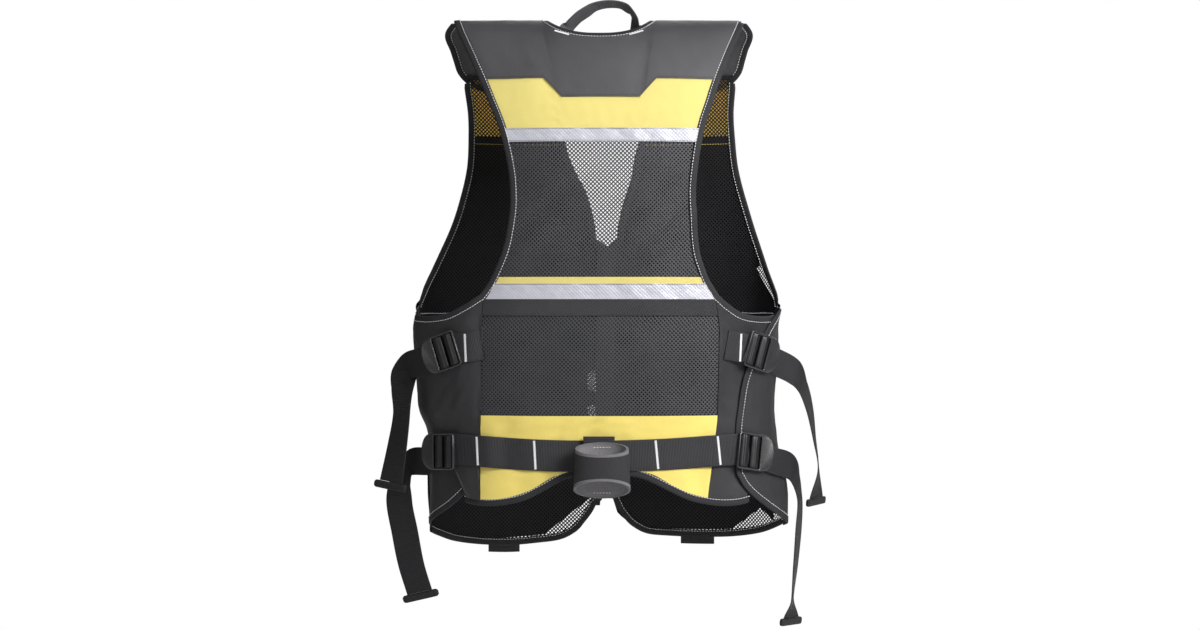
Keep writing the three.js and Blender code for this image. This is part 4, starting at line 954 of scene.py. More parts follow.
# Deeper, darker yellow than the upper band: painted shade, as less light falls low on the back.
LUMBAR_PAINTED_SHADE = Finish(
    "lumbar_cloth_painted_shade", "cloth_yellow", (0.83, 0.61, 0.11), (1.0, 0.85, 0.25), (0.7, 0.85), fine=1200.0,
    depth=0.15, through=0.1
)
SILVER = Finish(
    "reflective_tape", "tape_reflective", (0.45, 0.45, 0.5), (0.6, 0.6, 0.66), (0.35, 0.5), Pattern2D.DIAMOND,
    190.0,
    0.3, metal=0.2, mottle=60.0,
)
NETTING = Finish(
    "black_netting", "net", (0.012, 0.012, 0.014), (0.072, 0.071, 0.08), (0.45, 0.6), Pattern2D.GRAIN, 2500.0,
    0.1, gloss=0.5
)
FRONT_NETTING = Finish(
    "front_netting", "net", (0.005, 0.005, 0.006), (0.034, 0.033, 0.037), (0.5, 0.7), Pattern2D.GRAIN, 2500.0,
    0.1, gloss=0.2
)
WEBBING = Finish(
    "ribbed_webbing", "webbing", (0.002, 0.002, 0.002), (0.046, 0.045, 0.05), (0.35, 0.5), Pattern2D.RIBS,
    450.0, 0.5
)
# Lighter copy of the belt's webbing: painted light, as the grab handle catches more light than the belt.
GRIP_PAINTED_LIGHT = Finish(
    "handle_webbing_painted_light", "webbing", (0.02, 0.02, 0.022), (0.14, 0.138, 0.152), (0.35, 0.5), Pattern2D.RIBS,
    450.0, 0.5
)
STRAP = Finish(
    "strap_webbing", "webbing", (0.003, 0.003, 0.003), (0.03, 0.03, 0.033), (0.4, 0.6), Pattern2D.RIBS, 450.0,
    0.5
)
FOLD = Finish(
    "lock_fold", "webbing", (0.002, 0.002, 0.002), (0.02, 0.02, 0.022), (0.25, 0.4), Pattern2D.RIBS, 330.0,
    0.5, coat=0.3
)
BINDING = Finish(
    "edge_binding", "binding", (0.006, 0.006, 0.007), (0.036, 0.035, 0.039), (0.5, 0.7), Pattern2D.RIBS,
    1000.0, 0.2
)
PLASTIC = Finish(
    "moulded_plastic", "buckle", (0.012, 0.012, 0.013), (0.034, 0.034, 0.037), (0.2, 0.32), Pattern2D.GRAIN,
    900.0, 0.04,
    coat=0.5, gloss=0.6,
)
HIDE = Finish(
    "loop_hide", "hide", (0.006, 0.006, 0.007), (0.045, 0.045, 0.05), (0.6, 0.8), fine=420.0, depth=0.35
)
LINING = Finish(
    "loop_lining", "hide", (0.1, 0.098, 0.104), (0.3, 0.29, 0.31), (0.8, 0.95), Pattern2D.GRAIN, 500.0, 0.5
)
CUT_EDGE = Finish(
    "loop_cut_edge", "hide", (0.11, 0.11, 0.115), (0.21, 0.205, 0.215), (0.8, 0.95), Pattern2D.GRAIN, 900.0,
    0.4
)
THREAD = Finish(
    "pale_thread", "binding", (0.6, 0.6, 0.62), (0.95, 0.95, 0.96), (0.5, 0.7), Pattern2D.GRAIN, 3000.0, 0.1
)
YELLOW_THREAD = Finish(
    "yellow_thread", "cloth_yellow", (0.5, 0.38, 0.06), (0.85, 0.7, 0.2), (0.5, 0.7), Pattern2D.GRAIN, 3000.0,
    0.1
)
DARK_THREAD = Finish(
    "dark_thread", "binding", (0.02, 0.02, 0.022), (0.06, 0.06, 0.066), (0.5, 0.7), Pattern2D.GRAIN, 3000.0,
    0.1
)

# Seam groups as (group, thread, then step, length and thickness of a stitch in millimetres).
SEWING = (
    ("stitching_pale", THREAD, 4.2, 3.0, 1.1),
    ("stitching_grey", DARK_THREAD, 3.4, 2.9, 0.7),
    ("stitching_dark", DARK_THREAD, 3.4, 2.9, 0.7),
    ("stitching_yellow", YELLOW_THREAD, 4.0, 3.2, 1.0),
    ("bartacks", THREAD, 0.85, 3.8, 1.1),
)


class Wardrobe:
    """All finishes, each built as a material when it is first asked for."""

    def __init__(self) -> None:
        """Builds the shared groups."""
        self.groups = Groups()
        self.made: dict[str, bpy.types.Material] = {}

    def material(self, finish: Finish) -> bpy.types.Material:
        """Returns the material of a finish."""
        if finish.name not in self.made:
            self.made[finish.name] = finish.build(self.groups)
        return self.made[finish.name]

    def dress(
        self, obj: bpy.types.Object, finish: Finish, *nodes: str, more: Sequence[Finish] = ()
    ) -> bpy.types.Object:
        """Gives a piece its material, slot and body, and hides the solids that it stands for.

        Args:
            obj: The finished piece.
            finish: Its main finish.
            nodes: The CAD nodes that it replaces.
            more: Finishes of its further material slots.

        Returns:
            The same piece.
        """
        if not obj.data.materials:
            for one in (finish, *more):
                obj.data.materials.append(self.material(one))
        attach(obj, "root")
        if nodes:
            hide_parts(*nodes)
        LOG.info("%s: %d faces", obj.name, len(obj.data.polygons))
        return obj


# Geometry node trees


class NodeTree:
    """A geometry node tree under construction, with named inputs."""

    def __init__(self, name: str, inputs: Sequence[tuple[str, str, object]]) -> None:
        """Starts the tree.

        Args:
            name: Name of the tree.
            inputs: Socket name, kind and first value of each input after the geometry.
        """
        self.tree = bpy.data.node_groups.new(name, "GeometryNodeTree")
        self.tree.interface.new_socket("Geometry", in_out="INPUT", socket_type="NodeSocketGeometry")
        for label, kind, value in inputs:
            socket = self.tree.interface.new_socket(label, in_out="INPUT", socket_type="NodeSocket" + kind)
            if value is not None:
                socket.default_value = value
        self.tree.interface.new_socket("Geometry", in_out="OUTPUT", socket_type="NodeSocketGeometry")
        self.given = self.node("NodeGroupInput").outputs
        self.result = self.node("NodeGroupOutput").inputs[0]

    def node(self, kind: str, **values: object) -> bpy.types.Node:
        """Adds a node, sets its properties, and links or sets the inputs named in "sockets"."""
        sockets = values.pop("sockets", {})
        made = self.tree.nodes.new(kind)
        for key, value in values.items():
            setattr(made, key, value)
        for key, value in sockets.items():
            if isinstance(value, bpy.types.NodeSocket):
                self.tree.links.new(value, made.inputs[key])
            else:
                made.inputs[key].default_value = value
        return made

    def close(self, geometry: bpy.types.NodeSocket) -> None:
        """Ends the tree with Realize Instances and Set Material."""
        real = self.node("GeometryNodeRealizeInstances", sockets={"Geometry": geometry})
        last = self.node(
            "GeometryNodeSetMaterial",
            sockets={"Geometry": real.outputs[0], "Material": self.given["Material"]}
        )
        self.tree.links.new(last.outputs[0], self.result)

    def run(self, obj: bpy.types.Object, name: str, **values: object) -> bpy.types.Object:
        """Runs the tree on an object and keeps the result as a plain mesh.

        Args:
            obj: The object that the tree works on, which is removed.
            name: Name of the new piece.
            values: Inputs of the tree by name.

        Returns:
            The new piece.
        """
        modifier = obj.modifiers.new("nodes", "NODES")
        modifier.node_group = self.tree
        for item in self.tree.interface.items_tree:
            if item.item_type == "SOCKET" and item.in_out == "INPUT" and item.name in values:
                modifier[item.identifier] = values[item.name]
        return baked(obj, name)


class Trees:
    """The geometry node trees, each built once."""

    def __init__(self) -> None:
        """Builds all the trees."""
        self.stitches = self.make_stitches()
        self.netting = self.make_netting()

    @staticmethod
    def make_stitches() -> NodeTree:
        """Builds rows of stitches: a grain of thread at each step of a seam line, laid along "lay"."""
        t = NodeTree(
            "stitch_rows",
            [
                ("Step", "Float", 0.004), ("Length", "Float", 0.0032), ("Thickness", "Float", 0.001),
                ("Material", "Material", None)
            ],
        )
        line = t.node("GeometryNodeMeshToCurve", sockets={"Mesh": t.given["Geometry"]})
        steps = t.node(
            "GeometryNodeResampleCurve", mode="LENGTH",
            sockets={"Curve": line.outputs[0], "Length": t.given["Step"]}
        )
        grain = t.node("GeometryNodeMeshUVSphere", sockets={"Segments": 6, "Rings": 4, "Radius": 0.5})
        lay = t.node("GeometryNodeInputNamedAttribute", data_type="FLOAT_VECTOR", sockets={"Name": "lay"})
        turned = t.node(
            "FunctionNodeAlignRotationToVector", axis="Z", sockets={"Vector": lay.outputs["Attribute"]}
        )
        size = t.node(
            "ShaderNodeCombineXYZ",
            sockets={"X": t.given["Thickness"], "Y": t.given["Thickness"], "Z": t.given["Length"]},
        )
        placed = t.node(
            "GeometryNodeInstanceOnPoints",
            sockets={
                "Points": steps.outputs[0],
                "Instance": grain.outputs[0],
                "Rotation": turned.outputs[0],
                "Scale": size.outputs[0],
            },
        )
        t.close(placed.outputs[0])
        return t

    @staticmethod
    def make_netting() -> NodeTree:
        """Builds netting: opens a hole in each whole cell, and gives the net a thickness where asked."""
        t = NodeTree(
            "diamond_netting",
            [
                ("Opening", "Float", 0.6), ("Thickness", "Float", 0.0008), ("Thick", "Bool", True),
                ("Material", "Material", None)
            ],
        )
        whole = t.node("GeometryNodeInputNamedAttribute", data_type="BOOLEAN", sockets={"Name": "whole"})
        cells = t.node(
            "GeometryNodeExtrudeMesh",
            mode="FACES",
            sockets={
                "Mesh": t.given["Geometry"],
                "Selection": whole.outputs["Attribute"],
                "Offset Scale": 0.0,
                "Individual": True,
            },
        )
        holes = t.node(
            "GeometryNodeScaleElements",
            domain="FACE",
            sockets={
                "Geometry": cells.outputs["Mesh"], "Selection": cells.outputs["Top"],
                "Scale": t.given["Opening"]
            },
        )
        cut = t.node(
            "GeometryNodeDeleteGeometry",
            domain="FACE",
            sockets={"Geometry": holes.outputs[0], "Selection": cells.outputs["Top"]},
        )
        flipped = t.node("GeometryNodeFlipFaces", sockets={"Mesh": cut.outputs[0]})
        raised = t.node(
            "GeometryNodeExtrudeMesh",
            mode="FACES",
            sockets={"Mesh": cut.outputs[0], "Offset Scale": t.given["Thickness"], "Individual": False},
        )
        both = t.node("GeometryNodeJoinGeometry")
        t.tree.links.new(flipped.outputs[0], both.inputs[0])
        t.tree.links.new(raised.outputs["Mesh"], both.inputs[0])
        joined = t.node(
            "GeometryNodeMergeByDistance", sockets={"Geometry": both.outputs[0], "Distance": 1e-6}
        )
        chosen = t.node(
            "GeometryNodeSwitch",
            input_type="GEOMETRY",
            sockets={"Switch": t.given["Thick"], "False": cut.outputs[0], "True": joined.outputs[0]},
        )
        t.close(chosen.outputs[0])
        return t


class Seams:
    """Collects seam lines and sews them with real thread at the end."""

    def __init__(self) -> None:
        """Starts with no seams."""
        self.lines: dict[str, list[tuple[Array, Array]]] = {}

    def add(self, group: str, points: Array, lay: Array | None = None) -> None:
        """Adds one seam line to a group, with the direction of its stitches where it isn't the seam's own."""
        lay = unit(np.gradient(points, axis=0)) if lay is None else lay
        self.lines.setdefault(group, []).append((points, lay))

    def bar(self, group: str, start: Array, end: Array, normal: Array) -> None:
        """Adds a dense bar tack between two points, whose stitches lie across it."""
        points = straight(start, end, 12)
        across = unit(np.cross(end - start, normal))
        self.add(group, points, np.broadcast_to(across, points.shape))

    def sew(self, group: str, tree: NodeTree, wardrobe: Wardrobe, finish: Finish, **sizes: float) -> None:
        """Makes one group's thread as a piece."""
        lines = self.lines[group]
        points = np.concatenate([p for p, _ in lines])
        edges, start = [], 0
        for p, _ in lines:
            edges += [(start + k, start + k + 1) for k in range(len(p) - 1)]
            start += len(p)
        mesh = bpy.data.meshes.new(group)
        mesh.from_pydata((points * MM).tolist(), edges, [])
        lay = mesh.attributes.new("lay", "FLOAT_VECTOR", "POINT")
        lay.data.foreach_set("vector", np.concatenate([d for _, d in lines]).astype(np.float32).ravel())
        base = bpy.data.objects.new(group + "_lines", mesh)
        bpy.context.scene.collection.objects.link(base)
        values = {key: value * MM for key, value in sizes.items()}
        obj = tree.run(base, group, Material=wardrobe.material(finish), **values)
        wardrobe.dress(obj, finish)


@dataclass
class Shop:
    """What every sub-assembly builds with: finishes, node trees and the seams collected so far."""

    wardrobe: Wardrobe
    trees: Trees
    seams: Seams = field(default_factory=Seams)

    def cloth(
        self,
        name: str,
        places: Array,
        finish: Finish,
        node: str,
        thickness: float = 1.6,
        lift: Array | float = 0.0,
        relief: Relief | None = None,
        rests_on: Sequence[str] = (),
        held: str = "hung",
        turned: bool = False,
    ) -> bpy.types.Object:
        """Args:
            name: Name of the piece.
            places: Grid of places, turn and down.
            finish: Its finish.
            node: The CAD node that it replaces.
            thickness: Thickness in millimetres.
            lift: How far its middle stands off the form.
            relief: Height of its folds at distances across and down, in millimetres.
            rests_on: What it hangs from or lies on; not used.
            held: How it is held; not used.
            turned: Whether its threads run sideways instead of down.

        Returns:
            The piece.
        """
        middle = FORM.lifted(places, lift)
        if relief is not None:
            flat = flat_map(middle) / MM
            lift = lift + relief(flat[..., 0], flat[..., 1]) * edge_fade(places.shape[:2])
            middle = FORM.lifted(places, lift)
        outer = FORM.lifted(places, lift + thickness / 2)
        inner = FORM.lifted(places, lift - thickness / 2)
        obj = self.wardrobe.dress(slab(name, outer, inner, turned=turned), finish, node)
        return obj

    def bind(
        self,
        name: str,
        places: Array,
        sideways: float,
        node: str,
        lift: Array | float = 0.0,
        inner: slice = slice(None),
    ) -> bpy.types.Object:
        """Wraps a binding round a cloth edge, with a row of stitches near its inner side.

        Args:
            name: Name of the piece.
            places: The edge as a row of places.
            sideways: Which side of the edge's run the binding lies on.
            node: The CAD node that it replaces.
            lift: How far the edge stands off the form.
            inner: The part of the edge whose stitches show on the inner face too.

        Returns:
            The piece.
        """
        width, thick, overlap, stitch, taper = 10.8, 3.2, 2.9, -0.9, 7.0
        points, normals = FORM.lifted(places, lift), FORM.normal(places[:, 0], places[:, 1])
        across = beside(points, normals, sideways)
        turn = np.linspace(0, math.tau, 15)[:-1]
        round_x = np.sign(np.cos(turn)) * np.abs(np.cos(turn)) ** 0.75
        round_y = np.sign(np.sin(turn)) * np.abs(np.sin(turn)) ** 0.75
        profile = np.stack([round_x * width / 2, round_y * thick / 2 * (1 + 0.12 * round_x)], axis=1)
        centres = points + across * (width / 2 - overlap)
        run = run_along(points)
        full = 0.5 + 0.5 * ease(np.minimum(run, run[-1] - run), 0, taper)
        shaped = profile[None] * np.stack([0.75 + 0.25 * full, full], axis=1)[:, None]
        obj = sweep(name, centres, across, normals, shaped)
        self.wardrobe.dress(obj, BINDING, node)
        line, rise = points + across * stitch, normals * (thick / 2 + 0.05)
        self.seams.add("stitching_pale", line + rise)
        self.seams.add("stitching_pale", (line - rise)[inner])
        return obj

    def web(
        self,
        name: str,
        centres: Array,
        across: Array,
        width: float,
        node: str | None,
        finish: Finish = WEBBING,
        thick: float = 1.8,
    ) -> bpy.types.Object:
        """Makes webbing along points, with rounded edges, and dresses it.

        Args:
            name: Name of the piece.
            centres: Points of its middle line.
            across: Direction across it at each point.
            width: Width in millimetres.
            node: The CAD node that it replaces, if any.
            finish: Its finish.
            thick: Thickness in millimetres.

        Returns:
            The piece.
        """
        square, out = lay_across(centres, across)
        obj = sweep(name, centres, square, out, tape_profile(width, thick))
        return self.wardrobe.dress(obj, finish, *([node] if node else []))


# Sub-assemblies


@dataclass
class BackColumn:
    """The back panel: yoke, bands, tapes, nets, lumbar cloth and their bindings."""

    shop: Shop
    net_pitch: float = 5.7
    net_opening: float = 0.58
    net_thick: float = 0.8

    def build(self) -> None:
        """Builds every piece of the back."""
        self.build_yoke()
        self.build_bands()
        self.build_net(
            "net_upper", "net_back_upper", CUT.back_armhole, CUT.band_down + CUT.tape, CUT.stripe_down
        )
        self.build_net("net_lower", "net_back_lower", CUT.back_seam, CUT.split + CUT.webbing, CUT.lumbar_down)
        self.build_lumbar()
        self.build_bindings()

    def build_yoke(self) -> None:
        """Builds the dark yoke, whose upper edge dips at the neck and lower edge dips in the middle."""
        relief = lambda u, v: 0.35 * ripples(u, v, 30, 4)
        grid = self.share_grid(lambda f: CUT.neckline(f * CUT.shoulder_half), CUT.yoke_floor, 34, 1.6)
        self.shop.cloth("yoke", grid, CORDURA, "back_yoke", 1.8, 0.4, relief, ["neck_binding"])
        places = self.share_grid(lambda f: CUT.yoke_floor(f) - 2.2, lambda f: CUT.yoke_floor(f), 1)[0]
        self.shop.seams.add("stitching_dark", FORM.lifted(places, 1.6))

    @staticmethod
    def share_grid(top: Callable, bottom: Callable, rows: int, power: float = 1.0) -> Array:
        """Returns places between two heights given by shares of the back's half-width.

        Args:
            top: Height of the upper edge at shares from -1 to 1.
            bottom: Height of the lower edge at the same shares.
            rows: Number of rows.
            power: How much closer together the upper rows lie.

        Returns:
            Grid of places, with columns on the corners of the yoke's lower edge.
        """
        marks = (-1.0, -CUT.slant_outer, -CUT.slant_inner, CUT.slant_inner, CUT.slant_outer, 1.0)
        spans = zip(marks[:-1], marks[1:], (36, 9, 50, 9, 36))
        share = np.concatenate([[-1.0], *[np.linspace(a, b, n + 1)[1:] for a, b, n in spans]])
        down = mix(top(share)[None], bottom(share)[None], (np.linspace(0, 1, rows + 1) ** power)[:, None])
        left, right = (CUT.back_armhole(side).turn_at(down) for side in (LEFT, RIGHT))
        reach = np.where(share < 0, left, right)
        half = np.abs(np.sin(np.radians(reach))) ** (2 / FORM.section_power) * FORM.section(down)[0]
        return np.stack([FORM.back_turn(share * half, down), down], axis=-1)

    def build_bands(self) -> None:
        """Builds the yellow band and stripe, the reflective tapes and the webbing between them."""
        tape_floor, stripe_floor = CUT.band_down + CUT.tape, CUT.stripe_down + CUT.stripe
        pucker = lambda u, v: 0.5 * ripples(u, v, 26, 11, 2.0) + 0.3 * ripples(u, v, 10, 12)
        soft = lambda u, v: 0.8 * ripples(u, v, 90, 21, 3.0) + 0.25 * ripples(u, v, 30, 22)
        flat = lambda u, v: 0.2 * ripples(u, v, 40, 31)
        edges = [CUT.back_armhole(side) for side in (LEFT, RIGHT)]
        grid = self.share_grid(lambda f: CUT.yoke_floor(f) - 6, lambda f: 0 * f + CUT.band_down + 2.5, 24)
        self.shop.cloth("band_yellow", grid, YELLOW, "yellow_band_upper", 1.2, -1.2, soft, ["yoke"])
        rows = (
            ("tape_upper", edges, CUT.band_down, tape_floor, SILVER, "reflective_upper", 1.2, 0.7, pucker),
            (
                "stripe_yellow", edges, CUT.stripe_down, stripe_floor + 1, YELLOW, "yellow_stripe", 1.2, 0.1,
                flat
            ),
            ("tape_lower", edges, stripe_floor, CUT.split, SILVER, "reflective_lower", 1.2, 0.7, pucker),
        )
        for name, pair, start, end, finish, node, thick, lift, relief in rows:
            grid = level_grid(*pair, start, end, 150, 10)
            self.shop.cloth(name, grid, finish, node, thick, lift, relief, ["net_upper"])
        seam = [CUT.back_seam(side) for side in (LEFT, RIGHT)]
        grid = level_grid(*seam, CUT.split - 0.5, CUT.split + CUT.webbing, 150, 8)
        self.shop.cloth("web_back", grid, WEBBING, "back_webbing", 1.8, 0.3, flat, ["net_lower"], turned=True)
        for down in (CUT.band_down + 1.4, tape_floor - 1.4, stripe_floor + 1.4):
            line = level_grid(*edges, down, down + 1, 150, 1)[0]
            self.shop.seams.add("stitching_grey", FORM.lifted(line, 1.45))

    def build_net(
        self, name: str, node: str, edge: Callable[[int], Curve], top: float, bottom: float
    ) -> None:
        """Builds netting between two heights of the back, with its edges tucked under its neighbours."""
        left, right = edge(LEFT), edge(RIGHT)
        bounds = lambda down: (left.turn_at(down), right.turn_at(down))
        floor = lambda turn: np.full(np.shape(turn), bottom)
        Netting(self.shop, self.net_pitch, self.net_opening, self.net_thick).build(
            name, node, bounds, top, floor, 0.0, 80.0, -1.6, ["yoke"]
        )

    def build_lumbar(self) -> None:
        """Builds the yellow lumbar cloth down to the curved hem."""
        left, right = (CUT.back_seam(side) for side in (LEFT, RIGHT))
        hem = CUT.back_hem()
        share = np.linspace(0, 1, 121)
        corner = mix(left.turn_at(FORM.hem_down - 18), right.turn_at(FORM.hem_down - 18), share)
        down = mix(CUT.lumbar_down, hem.down_at(corner)[None] + 1.0, np.linspace(0, 1, 45)[:, None])
        turns = mix(left.turn_at(down), right.turn_at(down), share[None])
        relief = lambda u, v: np.minimum(2.2 * ripples(u, v, 62, 41, 3.0), 0.6) + 0.3 * ripples(u, v, 24, 42)
        self.shop.cloth(
            "lumbar", np.stack([turns, down], axis=-1), LUMBAR_PAINTED_SHADE, "yellow_lumbar", 1.6, 0.3, relief,
            ["net_lower"]
        )

    def build_bindings(self) -> None:
        """Builds the bindings of the neck, the armholes and the hem."""
        half = np.linspace(-CUT.neck_half + 1, CUT.neck_half - 1, 120)
        down = CUT.neckline(half)
        neck = np.stack([FORM.back_turn(half, np.maximum(down, 0.01)), down], axis=1)
        self.shop.bind("neck_edge", neck, -1, "neck_binding")
        for side, word in SIDES.items():
            curve = CUT.back_armhole(side)
            heights = np.linspace(4.6, CUT.split, 170)
            upper = np.stack([curve.turn_at(heights), heights], axis=1)
            lower = CUT.armhole_floor(side).spaced(50)[1:]
            edge = np.concatenate([upper, lower])
            self.shop.bind(
                f"armhole_edge_{word}", edge, -side, f"back_armhole_binding_{word}", Lap.strip(side)(edge)
            )
        self.shop.bind("hem_edge", CUT.back_hem().spaced(220), 1, "back_hem_binding")


@dataclass
class Netting:
    """Open netting on the body form: staggered diamond cells, with a closed rim where it is sewn."""

    shop: Shop
    pitch: float
    opening: float
    thick: float
    tuck: float = 4.5
    finish: Finish = NETTING

    def build(
        self,
        name: str,
        node: str,
        bounds: Callable[[float], tuple[float, float]],
        top: float,
        floor: Callable[[Array], Array],
        centre: float,
        reach: float,
        lift: float,
        rests_on: Sequence[str],
    ) -> bpy.types.Object:
        """Builds one panel of netting.

        Args:
            name: Name of the piece.
            node: The CAD node that it replaces.
            bounds: Least and greatest turn at a height.
            top: Height of its upper edge.
            floor: Height of its lower edge at turns.
            centre: Turn that the cells are counted from.
            reach: Turns to both sides of the centre that the net may reach.
            lift: How far it stands off the form.
            rests_on: What it hangs from; not used.

        Returns:
            The piece.
        """
        step = self.pitch / 2
        top -= self.tuck
        lowest = float(np.max(floor(np.linspace(centre - reach, centre + reach, 60)))) + self.tuck
        rows = np.arange(math.floor(top / step) - 1, math.ceil(lowest / step) + 2)
        least, most, grid = [], [], []
        for row in rows:
            down = min(max(row * step, top), lowest)
            turns, run = FORM.girth(down, centre, reach)
            low, high = bounds(down)
            ends = np.interp([low, high], turns, run)
            least.append(ends[0] - self.tuck)
            most.append(ends[1] + self.tuck)
            grid.append((turns, run, down))
        first = math.floor(min(least) / step) - 1
        last = math.ceil(max(most) / step) + 1
        columns = np.arange(first, last + 1)
        places = np.zeros((len(rows), len(columns), 2))
        inside = np.zeros((len(rows), len(columns)), bool)
        for k, (turns, run, down) in enumerate(grid):
            wanted = columns * step
            inside[k] = (wanted > least[k] + 1.0) & (wanted < most[k] - 1.0)
            places[k, :, 0] = np.interp(np.clip(wanted, least[k], most[k]), run, turns)
            places[k, :, 1] = rows[k] * step
        under = floor(places[..., 0]) + self.tuck
        inside &= (places[..., 1] > top + 1.0) & (places[..., 1] < under - 1.0)
        places[..., 1] = np.clip(places[..., 1], top, under)
        order = np.arange(places[..., 0].size).reshape(inside.shape)
        r, c = np.meshgrid(np.arange(1, len(rows) - 1), np.arange(1, len(columns) - 1), indexing="ij")
        centre_cell = (rows[r] + columns[c]) % 2 == 0
        r, c = r[centre_cell], c[centre_cell]
        corners = ((r, c - 1), (r + 1, c), (r, c + 1), (r - 1, c))
        faces = np.stack([order[a, b] for a, b in corners], axis=1)
        whole = np.all([inside[a, b] for a, b in corners], axis=0)
        points = FORM.lifted(places, lift)
        flat = points.reshape(-1, 3)
        diagonal = np.cross(flat[faces[:, 2]] - flat[faces[:, 0]], flat[faces[:, 3]] - flat[faces[:, 1]])
        kept = np.linalg.norm(diagonal, axis=1) > 1.0
        faces, whole, diagonal = faces[kept], whole[kept], diagonal[kept]
        normal = FORM.normal(places[..., 0], places[..., 1]).reshape(-1, 3)[faces[:, 0]]
        if (diagonal * normal).sum() < 0:
            faces = faces[:, ::-1]
        flat_uv = np.stack(
            [np.broadcast_to(columns * step, inside.shape), -places[..., 1]], axis=-1
        ).reshape(-1, 2) * MM
        used, compact = np.unique(faces, return_inverse=True)
        base = new_object(name + "_cells", flat[used], compact.reshape(-1, 4), flat_uv[used])
        mask = base.data.attributes.new("whole", "BOOLEAN", "FACE")
        mask.data.foreach_set("value", whole)
        obj = self.shop.trees.netting.run(
            base, name, Opening=self.opening, Thickness=self.thick * MM, Thick=self.thick > 0,
            Material=self.shop.wardrobe.material(self.finish),
        )
        self.shop.wardrobe.dress(obj, self.finish, node)
        return obj


@dataclass
class SidePanels:
    """The dark side strips of the back and the front's side flaps, with their bindings."""

    shop: Shop
    columns: int = 56
    rows: int = 90

    def build(self) -> None:
        """Builds both sides."""
        for side, word in SIDES.items():
            self.build_strip(side, word)
            self.build_flap(side, word)

    def build_strip(self, side: int, word: str) -> None:
        """Builds the strip from the armhole's floor to the hem."""
        hem = CUT.back_hem()
        top = CUT.armhole_floor(side).spaced(self.columns)
        rows = [(side * t, d * FORM.hem_down) for d, t in STRIP_OUTER[side]]
        rows[-1] = (rows[-1][0], float(hem.down_at(np.array(rows[-1][0]))))
        outer = Curve([top[-1], *rows]).spaced(self.rows)
        seam = CUT.back_seam(side)
        corner = seam.turn_at(np.array(FORM.hem_down - CUT.tape))
        down = np.linspace(top[0, 1], float(hem.down_at(corner)), self.rows + 1)
        inner = np.stack([seam.turn_at(down) + side * CUT.seam_turn * 0.5, down], axis=1)
        top = top.copy()
        top[0] = inner[0]
        bottom = straight(inner[-1], outer[-1], self.columns)
        bottom[:, 1] = hem.down_at(bottom[:, 0])
        grid = patch(top, bottom, inner, outer)
        relief = lambda u, v: 1.8 * ripples(u, v, 66, 51 + side, 2.0) + 0.4 * ripples(u, v, 26, 54 + side)
        self.shop.cloth(
            f"side_strip_{word}", grid, SIDE_CLOTH_PAINTED_SHADE, f"back_side_{word}", 1.7, Lap.strip(side)(grid), relief,
            ["lumbar"]
        )

    def build_flap(self, side: int, word: str) -> None:
        """Builds the flap that wraps from the front round the side, and its binding."""
        free = CUT.flap_edge(side).spaced(self.rows)
        floor = CUT.flap_floor(side).spaced(self.columns)
        seam_turn = side * CUT.side_turn
        floor[-1, 0] = seam_turn
        top = straight(free[0], (seam_turn, CUT.front_armhole_drop), self.columns)
        seam = straight(top[-1], floor[-1], self.rows)
        grid = patch(top, floor, free, seam)
        lift = Lap.flap(side)
        relief = lambda u, v: 1.6 * ripples(u, v, 70, 61 + side, 2.0) + 0.35 * ripples(u, v, 26, 64 + side)
        self.shop.cloth(
            f"side_flap_{word}", grid, SIDE_CLOTH_PAINTED_SHADE, f"front_side_{word}", 1.7, lift(grid), relief,
            [f"front_net_{word}_piece"]
        )
        edge = np.concatenate([free[2:], floor[1:-1]])
        self.shop.bind(f"flap_edge_{word}", edge, side, f"flap_binding_{word}", lift(edge))


